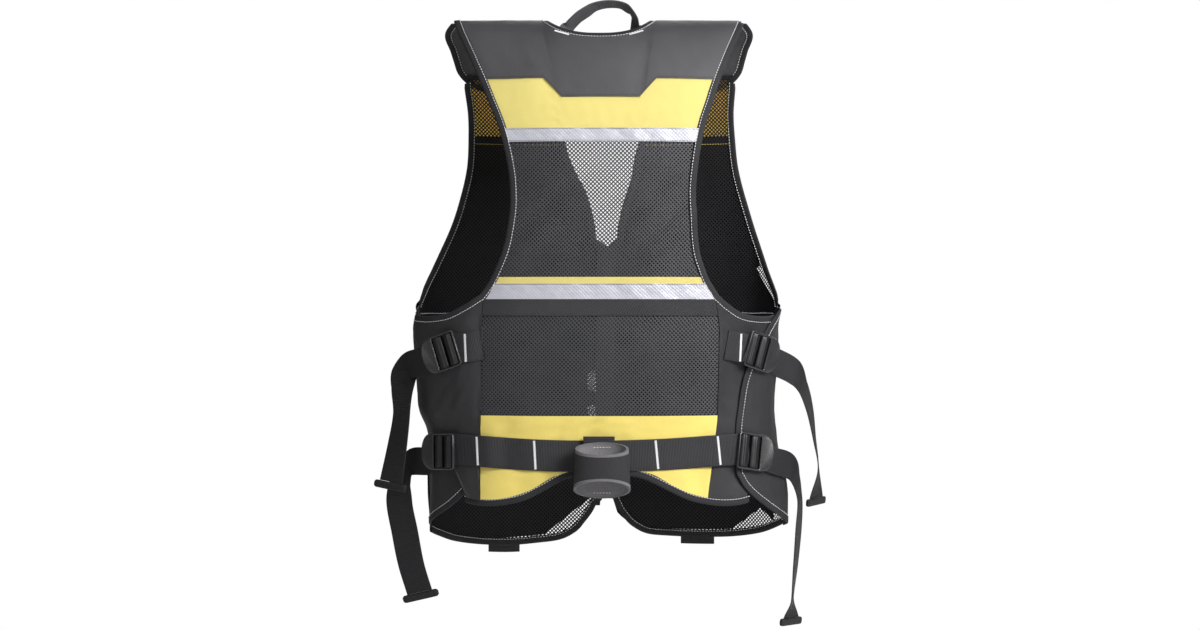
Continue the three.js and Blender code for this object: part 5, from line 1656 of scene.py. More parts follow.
@dataclass
class FrontPanels:
    """Both front panels: netting, chest cloth, pockets, shoulder tongues, closure and bindings."""

    shop: Shop
    pitch: float = 5.7
    opening: float = 0.54

    def build(self) -> None:
        """Builds both fronts and the closure."""
        for side, word in SIDES.items():
            self.build_net(side, word)
            self.build_tongue(side, word)
            self.build_patches(side, word)
            self.build_bindings(side, word)
        self.build_closure()

    def build_net(self, side: int, word: str) -> None:
        """Builds the net that carries the pockets."""
        arm, opening, hem = CUT.front_armhole(side), CUT.front_opening(side), CUT.front_hem(side)
        top, drop, low = CUT.tongue_down - CUT.tongue_lap, CUT.front_armhole_drop, CUT.front_hem_top(side)

        def bounds(down: float) -> tuple[float, float]:
            """Returns the least and greatest turn of the panel at one height."""
            outer = float(arm.turn_at(np.array(min(down, drop)))) if down < drop else side * CUT.side_turn
            inner = float(opening.turn_at(np.array(min(down, low))))
            return min(inner, outer), max(inner, outer)

        def floor(turn: Array) -> Array:
            """Returns the height of the hem at turns."""
            return hem.down_at(np.clip(np.abs(turn), 97.01, np.abs(hem.rows[-1, 0]) - 0.01) * side)

        Netting(self.shop, self.pitch, self.opening, 0.0, finish=FRONT_NETTING).build(
            f"front_net_{word}_piece", f"front_net_{word}", bounds, top, floor, side * 135.0, 46.0, 0.0,
            [f"shoulder_tongue_{word}"]
        )

    def tongue_run(self, side: int, count: int) -> Array:
        """Returns places down the tongue's outer edge, closer together at the ridge."""
        last = 0.97 * CUT.tongue_down
        down = np.linspace(0, 1, count + 1) ** 1.6 * last
        return np.stack([CUT.tongue_edge(side).turn_at(down), down], axis=1)

    def build_tongue(self, side: int, word: str) -> None:
        """Builds the shoulder's front tongue and its binding."""
        rows, columns = 40, 40
        outer = self.tongue_run(side, rows)
        down = CUT.tongue_down * np.linspace(0, 1, rows + 1) ** 1.6
        inner = np.stack([CUT.front_opening(side).turn_at(down), down], axis=1)
        grid = patch(
            straight(inner[0], outer[0], columns), straight(inner[-1], outer[-1], columns), inner, outer
        )
        relief = lambda u, v: 0.3 * ripples(u, v, 40, 71 + side)
        self.shop.cloth(
            f"shoulder_tongue_{word}", grid, CORDURA, f"shoulder_{word}", 1.8, Lap.tongue(grid), relief,
            ["yoke"]
        )
        edge = CUT.tongue_edge(side).spaced(110)[2:]
        self.shop.bind(f"tongue_edge_{word}", edge, side, f"shoulder_binding_{word}", Lap.tongue(edge))

    def build_patches(self, side: int, word: str) -> None:
        """Builds the chest cloth and the two pocket cloths of one front."""
        rows = (
            ("chest", "front_chest", CHEST, 77.0, 160.5, 22, 81, 2.7, 0.0),
            ("pocket_upper", "front_pocket_upper", POCKET_CLOTH_PAINTED_SHADE, 158.0, 334.0, 50, 84, 1.2, 4.4),
            ("pocket_lower", "front_pocket_lower", POCKET_CLOTH_PAINTED_SHADE, 330.0, 0.0, 110, 87, 2.7, 3.0),
        )
        for name, node, finish, top, bottom, count, seed, base, puffed in rows:
            grid = self.patch_grid(side, top, bottom, count)
            v = np.linspace(0, 1, count + 1)[:, None]
            puff = ease(v, 0.04, 0.2) * (1 - ease(v, 0.85, 0.97)) * np.ones(grid.shape[1])[None]
            lift = base + puffed * puff
            relief = lambda u, v, seed=seed: 0.4 * ripples(u, v, 60, seed + side, 2.0)
            self.shop.cloth(
                f"{name}_{word}", grid, finish, f"{node}_{word}", 1.2, lift, relief,
                [f"front_net_{word}_piece"], "stretched"
            )
            for row in (1, -2):
                line = FORM.lifted(grid[row, 2:-2], lift[row, 2:-2] + 0.7)
                self.shop.seams.add("stitching_yellow" if name == "chest" else "stitching_grey", line)
        turns = side * np.linspace(100, 127, 80)
        zigzag = np.stack([turns, 421.0 + 2.0 * np.abs(((turns * 1.6) % 2) - 1)], axis=1)
        self.shop.seams.add("stitching_pale", FORM.lifted(zigzag, -1.2))
        line = self.patch_grid(side, 169.5, 170.5, 1)[0]
        self.shop.seams.add("stitching_yellow", FORM.lifted(line, -0.3))

    def patch_grid(self, side: int, top: float, bottom: float, rows: int) -> Array:
        """Returns the places of a cloth patch between the opening and the armhole or side seam."""
        share = np.linspace(0, 1, 81)
        low = np.full(share.shape, bottom)
        if not bottom:
            low = self.pocket_floor(side, side * mix(177.0, CUT.side_turn + 14, share))
        down = mix(top, low[None], np.linspace(0, 1, rows + 1)[:, None])
        inner, outer = self.inner_edge(side, down), self.outer_edge(side, down)
        return np.stack([mix(inner, outer, share[None]), down], axis=-1)

    @staticmethod
    def pocket_floor(side: int, turns: Array) -> Array:
        """Returns the height of the lower pocket's hem, which leaves the net's corners open."""
        level, tuck = 720.0, 3.0
        near, tip, fall, climb = 200.0, 236.0, 0.9, 1.1
        x = np.abs(FORM.point(turns, np.full(turns.shape, level))[..., 0])
        hem = CUT.front_hem(side).down_at(turns) - tuck
        corner, slope = {LEFT: (79.0, 1.0), RIGHT: (45.0, 5.0)}[side]
        floor = CUT.front_hem_down + 1.0 - CUT.hem_tilt * (side == RIGHT)
        low = np.minimum(hem, floor - (corner - x) * slope)
        notch = 743.0 - (np.minimum(x, tip) - near) * fall + np.maximum(x - tip, 0.0) * climb
        return np.minimum(low, notch) if side == RIGHT else low

    @staticmethod
    def inner_edge(side: int, down: Array) -> Array:
        """Returns the turns of a patch's edge along the front opening."""
        opening = CUT.front_opening(side).turn_at(np.minimum(down, CUT.front_hem_top(side)))
        gap = ease(down, 505, 512) * (1 - ease(down, 536, 543)) + ease(down, 558, 562) * (
            1 - ease(down, 578, 582)
        )
        return opening + side * (0.5 - 2.2 * gap * (side == LEFT))

    @staticmethod
    def outer_edge(side: int, down: Array) -> Array:
        """Returns the turns of a patch's edge along the armhole and the side."""
        arm = CUT.front_armhole(side).turn_at(np.minimum(down, CUT.front_armhole_drop))
        high = ease(down, 290, 300) * (1 - ease(down, 336, 344))
        low = ease(down, 346, 358) * (1 - ease(down, 402, 410))
        shy = {LEFT: 3.0 * low, RIGHT: 0.8 * high + 7.0 * low}[side]
        turn = np.abs(arm) - 0.4 + shy
        seam = 14.0 * ease(down, 412, 440) * (1 - (side == LEFT) * ease(down, 620, 660))
        return side * np.where(down < CUT.front_armhole_drop, turn, CUT.side_turn + seam)

    def build_bindings(self, side: int, word: str) -> None:
        """Builds the bindings of the front armhole, the front opening and the hem."""
        down = np.linspace(CUT.tongue_down - CUT.tongue_lap + 7, CUT.front_armhole_drop, 130)
        arm = np.stack([CUT.front_armhole(side).turn_at(down), down], axis=1)
        self.shop.bind(f"front_armhole_edge_{word}", arm, side, f"front_armhole_binding_{word}")
        down = np.linspace(CUT.tongue_down - CUT.tongue_lap + 6, CUT.front_hem_top(side), 200)
        opening = np.stack([CUT.front_opening(side).turn_at(down), down], axis=1)
        hem = CUT.front_hem(side).spaced(150)[::-1]
        edge = np.concatenate([opening[opening[:, 1] < hem[0, 1] - 6], hem])
        self.shop.bind(
            f"front_edge_{word}", edge, -side, f"front_edge_binding_{word}",
            inner=slice(len(opening) - 12, None)
        )

    def build_closure(self) -> None:
        """Builds the zip tape behind the front edges."""
        down = np.linspace(321, 690, 80)
        left = 360 + np.array([CUT.front_place(LEFT, 14.0, d) for d in down])
        right = np.array([CUT.front_place(RIGHT, 14.0, d) for d in down])
        turns = mix(right[:, None], left[:, None], np.linspace(0, 1, 9)[None])
        grid = np.stack([turns, np.broadcast_to(down[:, None], turns.shape)], axis=-1)
        self.shop.cloth(
            "zip_tape", grid, BINDING, "front_zip", 1.6, -3.4, None, ["front_edge_left"], "stretched"
        )


@dataclass
class Buckle:
    """A ladder lock: a rounded frame with a lifting tab, and the webbing that wraps its two bars."""

    shop: Shop
    name: str
    side: int
    turn: float
    lean: float
    down: float
    spare: float
    wide: float = 40.0
    tall: float = 52.0
    thick: float = 5.0
    rail: float = 3.0
    end_bar: float = 2.6
    tab: float = 20.0
    bevel: float = 1.1
    # The folds of webbing over the bars as (start, end, height).
    folds: tuple[tuple[float, float, float], ...] = ((-16.2, -1.6, 6.0), (1.6, 16.2, 5.6))

    def axes(self) -> tuple[Array, Array, Array, Array]:
        """Returns the middle, and the directions towards the tab, up and out."""
        turn, down = self.side * self.turn, self.down
        normal = FORM.normal(turn, down)
        lean = math.radians(self.lean)
        up = np.array((self.side * math.sin(lean), 0.0, math.cos(lean)))
        up = unit(up - normal * (up @ normal))
        across = np.cross(up, normal)
        seat = Lap.web() + Lap.WEB / 2 + self.spare + Lap.SEAT
        return FORM.point(turn, down) + normal * seat, across * self.side, up, normal

    def build(self) -> None:
        """Builds the frame, its bars and the two folds of webbing."""
        middle, out, up, normal = self.axes()
        obj = self.frame_mesh()
        points = np.array([v.co for v in obj.data.vertices])
        placed = middle + out * points[:, :1] + up * points[:, 1:2] + normal * points[:, 2:]
        obj.data.vertices.foreach_set("co", (placed * MM).astype(np.float32).ravel())
        if self.side < 0:
            obj.data.flip_normals()
        obj.data.set_sharp_from_angle(angle=math.radians(40))
        obj.data.update()
        self.shop.wardrobe.dress(obj, PLASTIC, "lock_" + self.name)
        for k, (start, end, high) in enumerate(self.folds):
            self.fold(k, start, end, high)

    def frame_mesh(self) -> bpy.types.Object:
        """Returns the frame with rounded edges, flat, in millimetres, with its tab towards +X."""
        x, y, r = self.wide / 2, self.tall / 2, 5.0
        turn = np.linspace(-90, 90, 15)[1:-1]
        reach = [
            (x + self.tab * 0.86 * math.cos(math.radians(t)) ** 0.7, y * 0.98 * math.sin(math.radians(t)))
            for t in turn
        ]
        corner = [(-x + r - r * math.sin(a), y - r + r * math.cos(a)) for a in np.radians((15, 45, 75))]
        lower = [(px, -py) for px, py in corner[::-1]]
        outline = [(-x + r, -y), (x - 2, -y), *reach, (x - 2, y), (-x + r, y), *corner, *lower]
        window = self.rounded(-x + self.end_bar, x - self.end_bar, y - self.rail, 1.5)
        obj = self.plate([outline, window])
        self.lift_tab(obj)
        return obj

    @staticmethod
    def rounded(x0: float, x1: float, y: float, r: float) -> list[tuple[float, float]]:
        """Returns a rectangle with rounded corners."""
        rows = []
        for cx, cy, start in (
            (x1 - r, y - r, 0), (x0 + r, y - r, 90), (x0 + r, -y + r, 180), (x1 - r, -y + r, 270)
        ):
            for a in np.radians((start, start + 30, start + 60, start + 90)):
                rows.append((cx + r * math.cos(a), cy + r * math.sin(a)))
        return rows

    def plate(self, outlines: Sequence[Sequence[tuple[float, float]]]) -> bpy.types.Object:
        """Returns a flat plate with bevelled edges from an outline and its holes."""
        curve = bpy.data.curves.new(self.name + "_outline", "CURVE")
        curve.dimensions = "2D"
        curve.fill_mode = "BOTH"
        curve.extrude = self.thick / 2 - self.bevel
        curve.bevel_depth = self.bevel
        curve.bevel_resolution = 3
        curve.offset = -self.bevel
        for rows in outlines:
            spline = curve.splines.new("POLY")
            spline.points.add(len(rows) - 1)
            spline.points.foreach_set("co", np.array([(a, b, 0, 1) for a, b in rows], np.float32).ravel())
            spline.use_cyclic_u = True
        holder = bpy.data.objects.new(self.name + "_outline", curve)
        bpy.context.scene.collection.objects.link(holder)
        obj = baked(holder, "ladder_lock_" + self.name)
        mesh = obj.data
        mesh.materials.clear()
        mesh.transform(Matrix.Translation((0, 0, self.thick / 2)))
        mesh.polygons.foreach_set("use_smooth", np.ones(len(mesh.polygons), bool))
        return obj

    def lift_tab(self, obj: bpy.types.Object) -> None:
        """Lifts the tab's free end a little, as it is moulded to be gripped."""
        for v in obj.data.vertices:
            past = max(v.co.x - self.wide / 2, 0.0)
            v.co.z += 0.012 * past * past

    def fold(self, index: int, start: float, end: float, high: float) -> None:
        """Wraps webbing over one bar of the lock."""
        middle, out, up, normal = self.axes()
        turn = np.radians(np.linspace(-28, 208, 48))
        half, centre = (end - start) / 2 - 0.9, (start + end) / 2
        x = centre - half * np.cos(turn)
        ridge = 1 + 0.07 * np.cos(6 * (turn - math.pi / 2))
        z = (high - 0.9) * np.maximum(np.sin(turn), -0.5) * ridge * 0.95 + 0.2
        path = middle + out * x[:, None] + normal * z[:, None]
        across = np.broadcast_to(up, path.shape)
        self.shop.web(
            f"lock_fold_{self.name}_{index + 1}", path, across, 2 * (self.tall / 2 - self.rail) - 1.0, None,
            FOLD
        )


@dataclass
class Belt:
    """The waist belt, the anchors of the upper locks, and the tabs under the front hem."""

    shop: Shop
    down: float = 592.0
    width: float = 44.0
    sag: float = 8.0
    left_turn: float = 54.5
    right_turn: float = 47.5
    anchor_down: float = 475.0
    anchor_rise: float = 8.0
    anchor_width: float = 42.0
    anchor_sewn: float = 34.0
    proud: float = 1.2

    def build(self) -> None:
        """Builds the belt with its bar tacks, the anchors and the hem tabs."""
        share = np.linspace(0, 1, 200)
        turns = mix(-self.left_turn - 3, self.right_turn + 3, share)
        down = self.down + self.sag * np.sin(share * math.pi) ** 2 + self.width / 2
        places = np.stack([turns, down], axis=1)
        lift = Lap.belt(places) + 0.5 * ripples(share * 520, share * 0, 120, 91)
        centres = FORM.lifted(places, lift)
        across = self.across(places, self.width)
        obj = self.shop.web("belt_web", centres, across, self.width, "waist_belt")
        for x in (-174.0, -93.5, 78.5, 165.5):
            k = int(np.argmin(np.abs(centres[:, 0] - x)))
            normal = FORM.normal(*places[k])
            middle = centres[k] + normal * self.proud
            half = unit(across[k]) * (self.width / 2 - 2.5)
            self.shop.seams.bar("bartacks", middle - half, middle + half, normal)
        for side, word in SIDES.items():
            self.build_anchor(side, word)
            self.build_hem_tab(side, word)

    @staticmethod
    def across(places: Array, width: float) -> Array:
        """Returns the direction down the form across a piece of webbing."""
        shift = np.array((0, width / 2))
        low, high = places + shift, places - shift
        return unit(FORM.point(low[:, 0], low[:, 1]) - FORM.point(high[:, 0], high[:, 1]))

    def build_anchor(self, side: int, word: str) -> None:
        """Builds the short webbing from the side seam to an upper lock."""
        turn = {LEFT: 48.0, RIGHT: 56.0}[side]
        reach, end = 2 * math.degrees(self.anchor_sewn / FORM.half_width), 1.0
        turns = side * (turn - np.linspace(reach, end, 40))
        share = np.linspace(0, 1, 40)
        places = np.stack([turns, self.anchor_down - self.anchor_rise * (1 - share)], axis=1)
        start = turn - reach
        sewn = Lap.strip(side)(places) + 2.0
        lift = mix(sewn, Lap.web(), ease(np.abs(turns), start, start + reach / 2))
        centres = FORM.lifted(places, lift)
        across = self.across(places, self.anchor_width)
        obj = self.shop.web(f"anchor_web_{word}", centres, across, self.anchor_width, f"anchor_strap_{word}")
        k = 17
        normal = FORM.normal(*places[k])
        middle = centres[k] + normal * self.proud
        half = unit(across[k]) * (self.anchor_width / 2 - 2.0)
        self.shop.seams.bar("bartacks", middle - half, middle + half, normal)

    def build_hem_tab(self, side: int, word: str) -> None:
        """Builds the folded tab that peeks out under the front hem."""
        turn = {LEFT: 147.0, RIGHT: 152.0}[side]
        hem = CUT.front_hem(side)
        half = math.degrees(22 / FORM.half_width) * 1.35
        turns = side * np.linspace(turn - half, turn + half, 24)
        top = hem.down_at(turns)
        down = top[None] + np.linspace(5.0, 18.25, 8)[:, None]
        grid = np.stack([np.broadcast_to(turns, down.shape), down], axis=-1)
        self.shop.cloth(
            f"hem_web_{word}", grid, WEBBING, f"hem_tab_{word}", 3.6, 0.0, None, [f"front_edge_{word}"],
            "folded"
        )


@dataclass(frozen=True)
class Tail:
    """A free strap: the lock it leaves, its drop, and rows of (out, deep, drop, across x, y, z)."""

    name: str
    side: int
    turn: float
    lean: float
    down: float
    drop: float
    rows: tuple[tuple[float, ...], ...]


TAILS = (
    Tail("upper_left", LEFT, 48.0, 20.0, 475.0, 203.0, (
        (1.075, -0.28, 0.13, 0.2, 0.15, 0.96), (1.095, -0.3, 0.27, 0.7, 0.5, 0.45),
        (1.1, -0.31, 0.47, 0.66, 0.75, 0.1),
        (1.125, -0.32, 0.7, 0.75, 0.65, 0.1), (1.155, -0.33, 0.93, 0.85, 0.5, 0.15),
    )),
    Tail("upper_right", RIGHT, 56.0, 20.0, 475.0, 228.0, (
        (1.07, -0.2, 0.142, 0.2, 0.3, 0.92), (1.12, -0.13, 0.235, 0.38, 0.87, 0.28),
        (1.16, -0.09, 0.378, 0.3, 0.94, 0.13),
        (1.19, -0.05, 0.578, 0.16, 0.985, 0.05), (1.21, -0.03, 0.735, 0.1, 0.99, 0.0),
        (1.2, 0.0, 0.94, 0.55, 0.83, 0.1),
    )),
    Tail("lower_left", LEFT, 57.0, 2.0, 618.0, 222.0, (
        (1.06, -0.17, 0.09, -0.1, 0.2, 0.97), (1.11, -0.09, 0.2, 0.5, 0.45, 0.74),
        (1.123, -0.06, 0.34, 0.95, 0.25, 0.15),
        (1.092, -0.05, 0.547, 0.97, 0.2, 0.15), (1.058, -0.03, 0.756, 0.93, 0.2, 0.3),
        (1.012, 0.0, 0.94, 0.93, 0.2, 0.33),
    )),
    Tail("lower_right", RIGHT, 50.0, 11.0, 618.0, 258.0, (
        (1.05, -0.22, 0.1, 0.35, 0.6, 0.7), (1.085, -0.14, 0.18, 0.29, 0.9, 0.3),
        (1.105, -0.08, 0.29, 0.24, 0.97, 0.03),
        (1.1, -0.04, 0.45, 0.29, 0.957, 0.0), (1.083, -0.02, 0.67, 0.24, 0.97, 0.0),
        (1.068, 0.0, 0.84, 0.15, 0.99, 0.0),
        (1.06, 0.0, 0.95, 0.6, 0.79, 0.1),
    )),
)


@dataclass
class Straps:
    """The four adjusting straps that hang free, with their folded ends."""

    shop: Shop
    width: float = 40.0
    tab_extra: float = 8.0
    tab_tall: float = 11.0
    tab_thick: float = 6.0
    gap: float = 0.4

    def build(self) -> None:
        """Builds every strap."""
        for tail in TAILS:
            self.build_tail(tail)

    def build_tail(self, tail: Tail) -> None:
        """Builds one strap from under its lock to its folded end."""
        side, lean = tail.side, math.radians(tail.lean)
        up = np.array((side * math.sin(lean), 0.0, math.cos(lean)))
        centres, across = [], []
        for step in (0.03, 0.11, 0.2, 0.3):
            turn, down = side * (tail.turn + math.degrees(step)), tail.down + step * 52
            normal = FORM.normal(turn, down)
            centres.append(FORM.point(turn, down) + normal * Lap.web())
            across.append(unit(up - normal * (up @ normal)))
        for out, deep, drop, *lay in tail.rows:
            centres.append(
                np.array(
                    (side * out * FORM.half_width, deep * FORM.back_depth, -(tail.down + drop * tail.drop))
                )
            )
            across.append(np.array((side * lay[0], lay[1], lay[2])))
        share = np.linspace(0, 1, 141)
        path, lay = Curve(centres).at(share), Curve(across).at(share)
        obj = self.shop.web(f"strap_{tail.name}", path, lay, self.width, f"adjust_strap_{tail.name}", STRAP)
        self.build_end(tail, path, lay)

    def build_end(self, tail: Tail, path: Array, lay: Array) -> None:
        """Builds the strap's end, folded over twice and sewn."""
        along = unit(path[-1] - path[-2])
        square, out = lay_across(path, lay)
        across, normal = square[-1], out[-1]
        start = path[-1] + along * self.gap
        turn = np.linspace(0, math.tau, 25)[:-1]
        x = np.sign(np.cos(turn)) * np.abs(np.cos(turn)) ** 0.55 * self.tab_tall / 2
        z = np.sign(np.sin(turn)) * np.abs(np.sin(turn)) ** 0.55 * self.tab_thick / 2
        fold = 1 - 0.22 * np.exp(-((x - 1.5) / 0.9) ** 2)
        profile = np.stack([x, z * fold], axis=1)
        width = self.width + 2 * self.tab_extra
        reach = np.linspace(-0.5, 0.5, 25)
        round_end = np.sqrt(np.clip(1 - (np.abs(reach) * 2) ** 24, 0.35, 1))
        centres = start + along * self.tab_tall / 2 + across * (reach * width)[:, None]
        profiles = profile[None] * round_end[:, None, None]
        obj = sweep(
            f"strap_fold_{tail.name}", centres, np.broadcast_to(along, centres.shape),
            np.broadcast_to(normal, centres.shape), profiles
        )
        self.shop.wardrobe.dress(obj, STRAP, f"strap_end_{tail.name}")
        for face in (1, -1):
            line = centres[2:-2] - along * 2.4 + normal * face * (self.tab_thick / 2 - 0.1)
            self.shop.seams.add("stitching_dark", line)


@dataclass
class Handle:
    """The grab handle at the neck."""

    shop: Shop
    width: float = 25.0
    half: float = 48.0
    rise: float = 23.0
    root: float = 44.0
    rows: tuple[tuple[float, ...], ...] = (
        (-1.0, -0.65, -0.27, -0.55, -0.8, 0.25), (-0.73, -0.04, -0.3, -0.29, -0.88, 0.38),
        (-0.42, 0.39, -0.345, -0.28, -0.87, 0.41), (-0.16, 0.7, -0.34, -0.15, -0.93, 0.33),
        (0.18, 0.85, -0.34, 0.0, -0.95, 0.3), (0.55, 0.81, -0.34, 0.04, -0.97, 0.25),
        (0.76, 0.61, -0.345, 0.15, -0.95, 0.26), (0.93, 0.28, -0.345, 0.12, -0.98, 0.1),
        (1.02, -0.1, -0.3, 0.25, -0.96, 0.0), (1.02, -0.6, -0.255, 0.55, -0.83, 0.0),
    )

    def build(self) -> None:
        """Builds the handle's webbing and the bar tacks at its ends."""
        lift = -(Lap.BIND + Lap.WEB) / 2 - 2 * Lap.SEAT
        centres, across = [], []
        ends = {side: [self.root_row(side, share, lift) for share in (1.0, 0.8)] for side in SIDES}
        for point, lay in ends[LEFT]:
            centres.append(point)
            across.append(lay)
        for span, rise, deep, *lay in self.rows:
            centres.append(np.array((span * self.half, deep * FORM.back_depth, rise * self.rise)))
            across.append(np.array(lay))
        for point, lay in reversed(ends[RIGHT]):
            centres.append(point)
            across.append(lay)
        share = np.linspace(0, 1, 161)
        path, lay = Curve(centres).at(share), Curve(across).at(share)
        obj = self.shop.web("handle_web", path, lay, self.width, "grab_handle", GRIP_PAINTED_LIGHT)
        for side in SIDES:
            ends_at = []
            for half, extra in ((62.5, 4.8), (43.0, 3.4)):
                down = float(CUT.neckline(np.array(half))) + extra
                turn = float(FORM.back_turn(side * half, down))
                ends_at.append(FORM.point(turn, down) + FORM.normal(turn, down) * 2.0)
            turn, down = float(FORM.back_turn(side * 54, 26)), 26.0
            self.shop.seams.bar("bartacks", ends_at[0], ends_at[1], FORM.normal(turn, down))

    def root_row(self, side: int, share: float, lift: float) -> tuple[Array, Array]:
        """Returns the point and cross direction of the webbing sewn inside the yoke."""
        down = self.root * share
        turn = float(FORM.back_turn(side * self.half, down))
        point = FORM.point(turn, down) + FORM.normal(turn, down) * lift
        return point, unit(FORM.point(turn + side, down) - FORM.point(turn - side, down))


@dataclass
class HammerLoop:
    """The oval loop on the belt for a hammer's handle, and the keeper behind it."""

    shop: Shop
    wide: float = 74.0
    deep: float = 46.0
    wall: float = 3.5
    rear: float = 78.0
    front: float = 36.0
    flare: float = 1.06
    seat: float = 2.0
    belt_down: float = Belt.down
    belt_width: float = Belt.width
    belt_sag: float = Belt.sag
    keeper_wide: float = Belt.width

    def build(self) -> None:
        """Builds the keeper and the loop."""
        lift = Lap.BIND / 2 + Lap.WEB + 1.0 + 2 * Lap.SEAT
        depths = [
            float(FORM.section(d)[1])
            for d in (self.belt_down, self.belt_down + self.belt_sag + self.belt_width)
        ]
        back = -max(depths) - lift
        self.build_keeper(back)
        self.build_loop(back - 1.0)

    def build_keeper(self, back: float) -> None:
        """Builds the flat keeper."""
        top = self.belt_down + self.seat
        down = np.linspace(top, top + self.rear + self.belt_sag, 40)
        centres = np.stack([np.full(down.shape, -3.0), np.full(down.shape, back), -down], axis=1)
        across = np.broadcast_to((1.0, 0.0, 0.0), centres.shape)
        obj = self.shop.web("keeper_web", centres, across, self.keeper_wide, "hammer_keeper", WEBBING, 2.0)

    def build_loop(self, seat: float) -> None:
        """Builds the loop as a thick oval wall, dark outside and pale at its cut edges and inside."""
        columns, rows = 96, 22
        middle = seat - Lap.SEAT - self.deep / 2
        top = self.belt_down + self.belt_sag + self.seat
        shift = float(FORM.section(top)[3])
        angle = np.linspace(0, math.tau, columns, endpoint=False)[None]
        share = np.linspace(0, 1, rows)[:, None]

        def ring(wall: float) -> Array:
            """Returns the wall's face at some depth inside the loop."""
            flare = mix(1.0, self.flare, share)
            behind = (1 + np.sin(angle)) / 2
            tall = mix(self.front, self.rear, behind)
            centre = top + self.rear * mix(0.42, 0.5, behind)
            wave = 0.8 * np.sin(2 * angle + 0.6) * (share - 0.5)
            x = shift + (self.wide / 2 - wall + wave) * flare * np.cos(angle)
            y = middle + (self.deep / 2 - wall) * np.sin(angle) + 0 * share
            return np.stack(np.broadcast_arrays(x, y, -(centre + (share - 0.5) * tall)), axis=-1)

        obj = slab("tool_loop", ring(0.0), ring(self.wall), wrap=True)
        face = (rows - 1) * columns
        slots = np.full(len(obj.data.polygons), 2, np.int32)
        slots[2 * columns : face - 2 * columns] = 0
        slots[face + columns : 2 * face - columns] = 1
        for finish in (HIDE, LINING, CUT_EDGE):
            obj.data.materials.append(self.shop.wardrobe.material(finish))
        obj.data.polygons.foreach_set("material_index", slots)
        self.shop.wardrobe.dress(obj, HIDE, "hammer_loop")
        for down in (top + 7.0, top + self.rear - 8.0):
            x = np.linspace(-15, 15, 12)
            line = np.stack(
                [x + shift, np.full(12, middle + self.deep / 2 - self.wall - 0.9), np.full(12, -down)], axis=1
            )
            self.shop.seams.add("stitching_pale", line)


# Stage


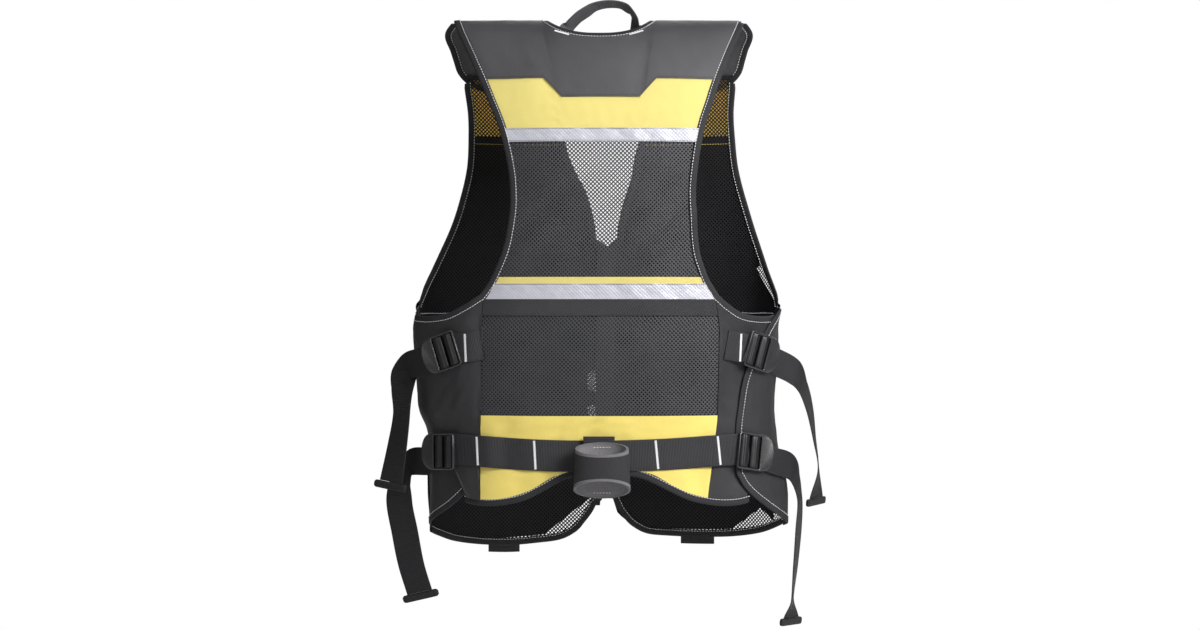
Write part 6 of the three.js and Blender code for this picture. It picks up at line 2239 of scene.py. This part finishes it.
@dataclass
class Studio:
    """The pale floor, the soft lights and the camera."""

    distance: float = 3.0
    eye: float = -0.425
    centre: float = -0.0015
    frame_width: float = 1.74
    sensor: float = 36.0
    floor: float = -0.95

    def build(self) -> None:
        """Builds the stage."""
        self.build_camera()
        self.build_floor()
        self.build_lights()
        bpy.context.scene.view_settings.view_transform = "Standard"

    def build_camera(self) -> None:
        """Places the camera level with the vest's middle, facing its back."""
        data = bpy.data.cameras.new("camera")
        data.sensor_width = self.sensor
        data.lens = self.sensor * self.distance / self.frame_width
        camera = bpy.data.objects.new("camera", data)
        camera.location = (self.centre, -self.distance, self.eye)
        camera.rotation_euler = (math.pi / 2, 0.0, 0.0)
        bpy.context.scene.collection.objects.link(camera)
        bpy.context.scene.camera = camera

    def build_floor(self) -> None:
        """Makes a pale floor that looks white to the camera and bounces a softer light."""
        points = np.array(
            [(-9, -9, self.floor), (9, -9, self.floor), (9, 9, self.floor), (-9, 9, self.floor)]
        ) / MM
        floor = new_object("studio_floor", points, [(0, 1, 2, 3)])
        material = bpy.data.materials.new("studio_white")
        material.use_nodes = True
        s = Shader(material.node_tree)
        s.tree.nodes.clear()
        seen = s.node("ShaderNodeLightPath").outputs["Is Camera Ray"]
        glow, soft = s.node("ShaderNodeEmission"), s.node("ShaderNodeBsdfDiffuse")
        glow.inputs["Color"].default_value = (1, 1, 1, 1)
        glow.inputs["Strength"].default_value = 1.0
        soft.inputs["Color"].default_value = (0.75, 0.75, 0.76, 1)
        both, out = s.node("ShaderNodeMixShader"), s.node("ShaderNodeOutputMaterial")
        s.join(seen, both.inputs[0])
        s.join(soft.outputs[0], both.inputs[1])
        s.join(glow.outputs[0], both.inputs[2])
        s.join(both.outputs[0], out.inputs["Surface"])
        floor.data.materials.append(material)

    def build_lights(self) -> None:
        """Sets a white surround and soft panels, stronger from the right."""
        world = bpy.data.worlds.new("studio")
        world.use_nodes = True
        bpy.context.scene.world = world
        s = Shader(world.node_tree)
        s.tree.nodes.clear()
        seen = s.node("ShaderNodeLightPath").outputs["Is Camera Ray"]
        strength = s.math("ADD", s.math("MULTIPLY", seen, 0.89), 0.11)
        ground, out = s.node("ShaderNodeBackground"), s.node("ShaderNodeOutputWorld")
        ground.inputs["Color"].default_value = (1, 1, 1, 1)
        s.join(strength, ground.inputs["Strength"])
        s.join(ground.outputs[0], out.inputs["Surface"])
        panels = (
            ("key", (1.3, -1.4, 0.45), 52.0, 1.0),
            ("fill", (-1.6, -2.6, 0.2), 6.0, 1.6),
            ("top", (0.2, -0.9, 1.7), 14.0, 1.6),
            ("back", (0.6, 2.4, 0.6), 34.0, 2.0),
        )
        for name, place, power, size in panels:
            data = bpy.data.lights.new(name, "AREA")
            data.energy = power
            data.size = size
            lamp = bpy.data.objects.new(name, data)
            lamp.location = place
            lamp.rotation_euler = (Vector(AIM) - Vector(place)).to_track_quat("-Z", "Y").to_euler()
            bpy.context.scene.collection.objects.link(lamp)


def main() -> None:
    """Builds the whole picture."""
    logging.basicConfig(level=logging.INFO, format="%(name)s %(message)s")
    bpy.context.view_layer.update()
    Studio().build()
    shop = Shop(Wardrobe(), Trees())
    BackColumn(shop).build()
    SidePanels(shop).build()
    FrontPanels(shop).build()
    Belt(shop).build()
    Straps(shop).build()
    for tail in TAILS:
        spare = Lap.UNDER if tail.name.startswith("lower") else 0.0
        Buckle(shop, tail.name, tail.side, tail.turn, tail.lean, tail.down, spare).build()
    Handle(shop).build()
    HammerLoop(shop).build()
    rows, wardrobe = shop.trees.stitches, shop.wardrobe
    for group, finish, step, length, thick in SEWING:
        shop.seams.sew(group, rows, wardrobe, finish, Step=step, Length=length, Thickness=thick)


if __name__ == "__main__":
    main()
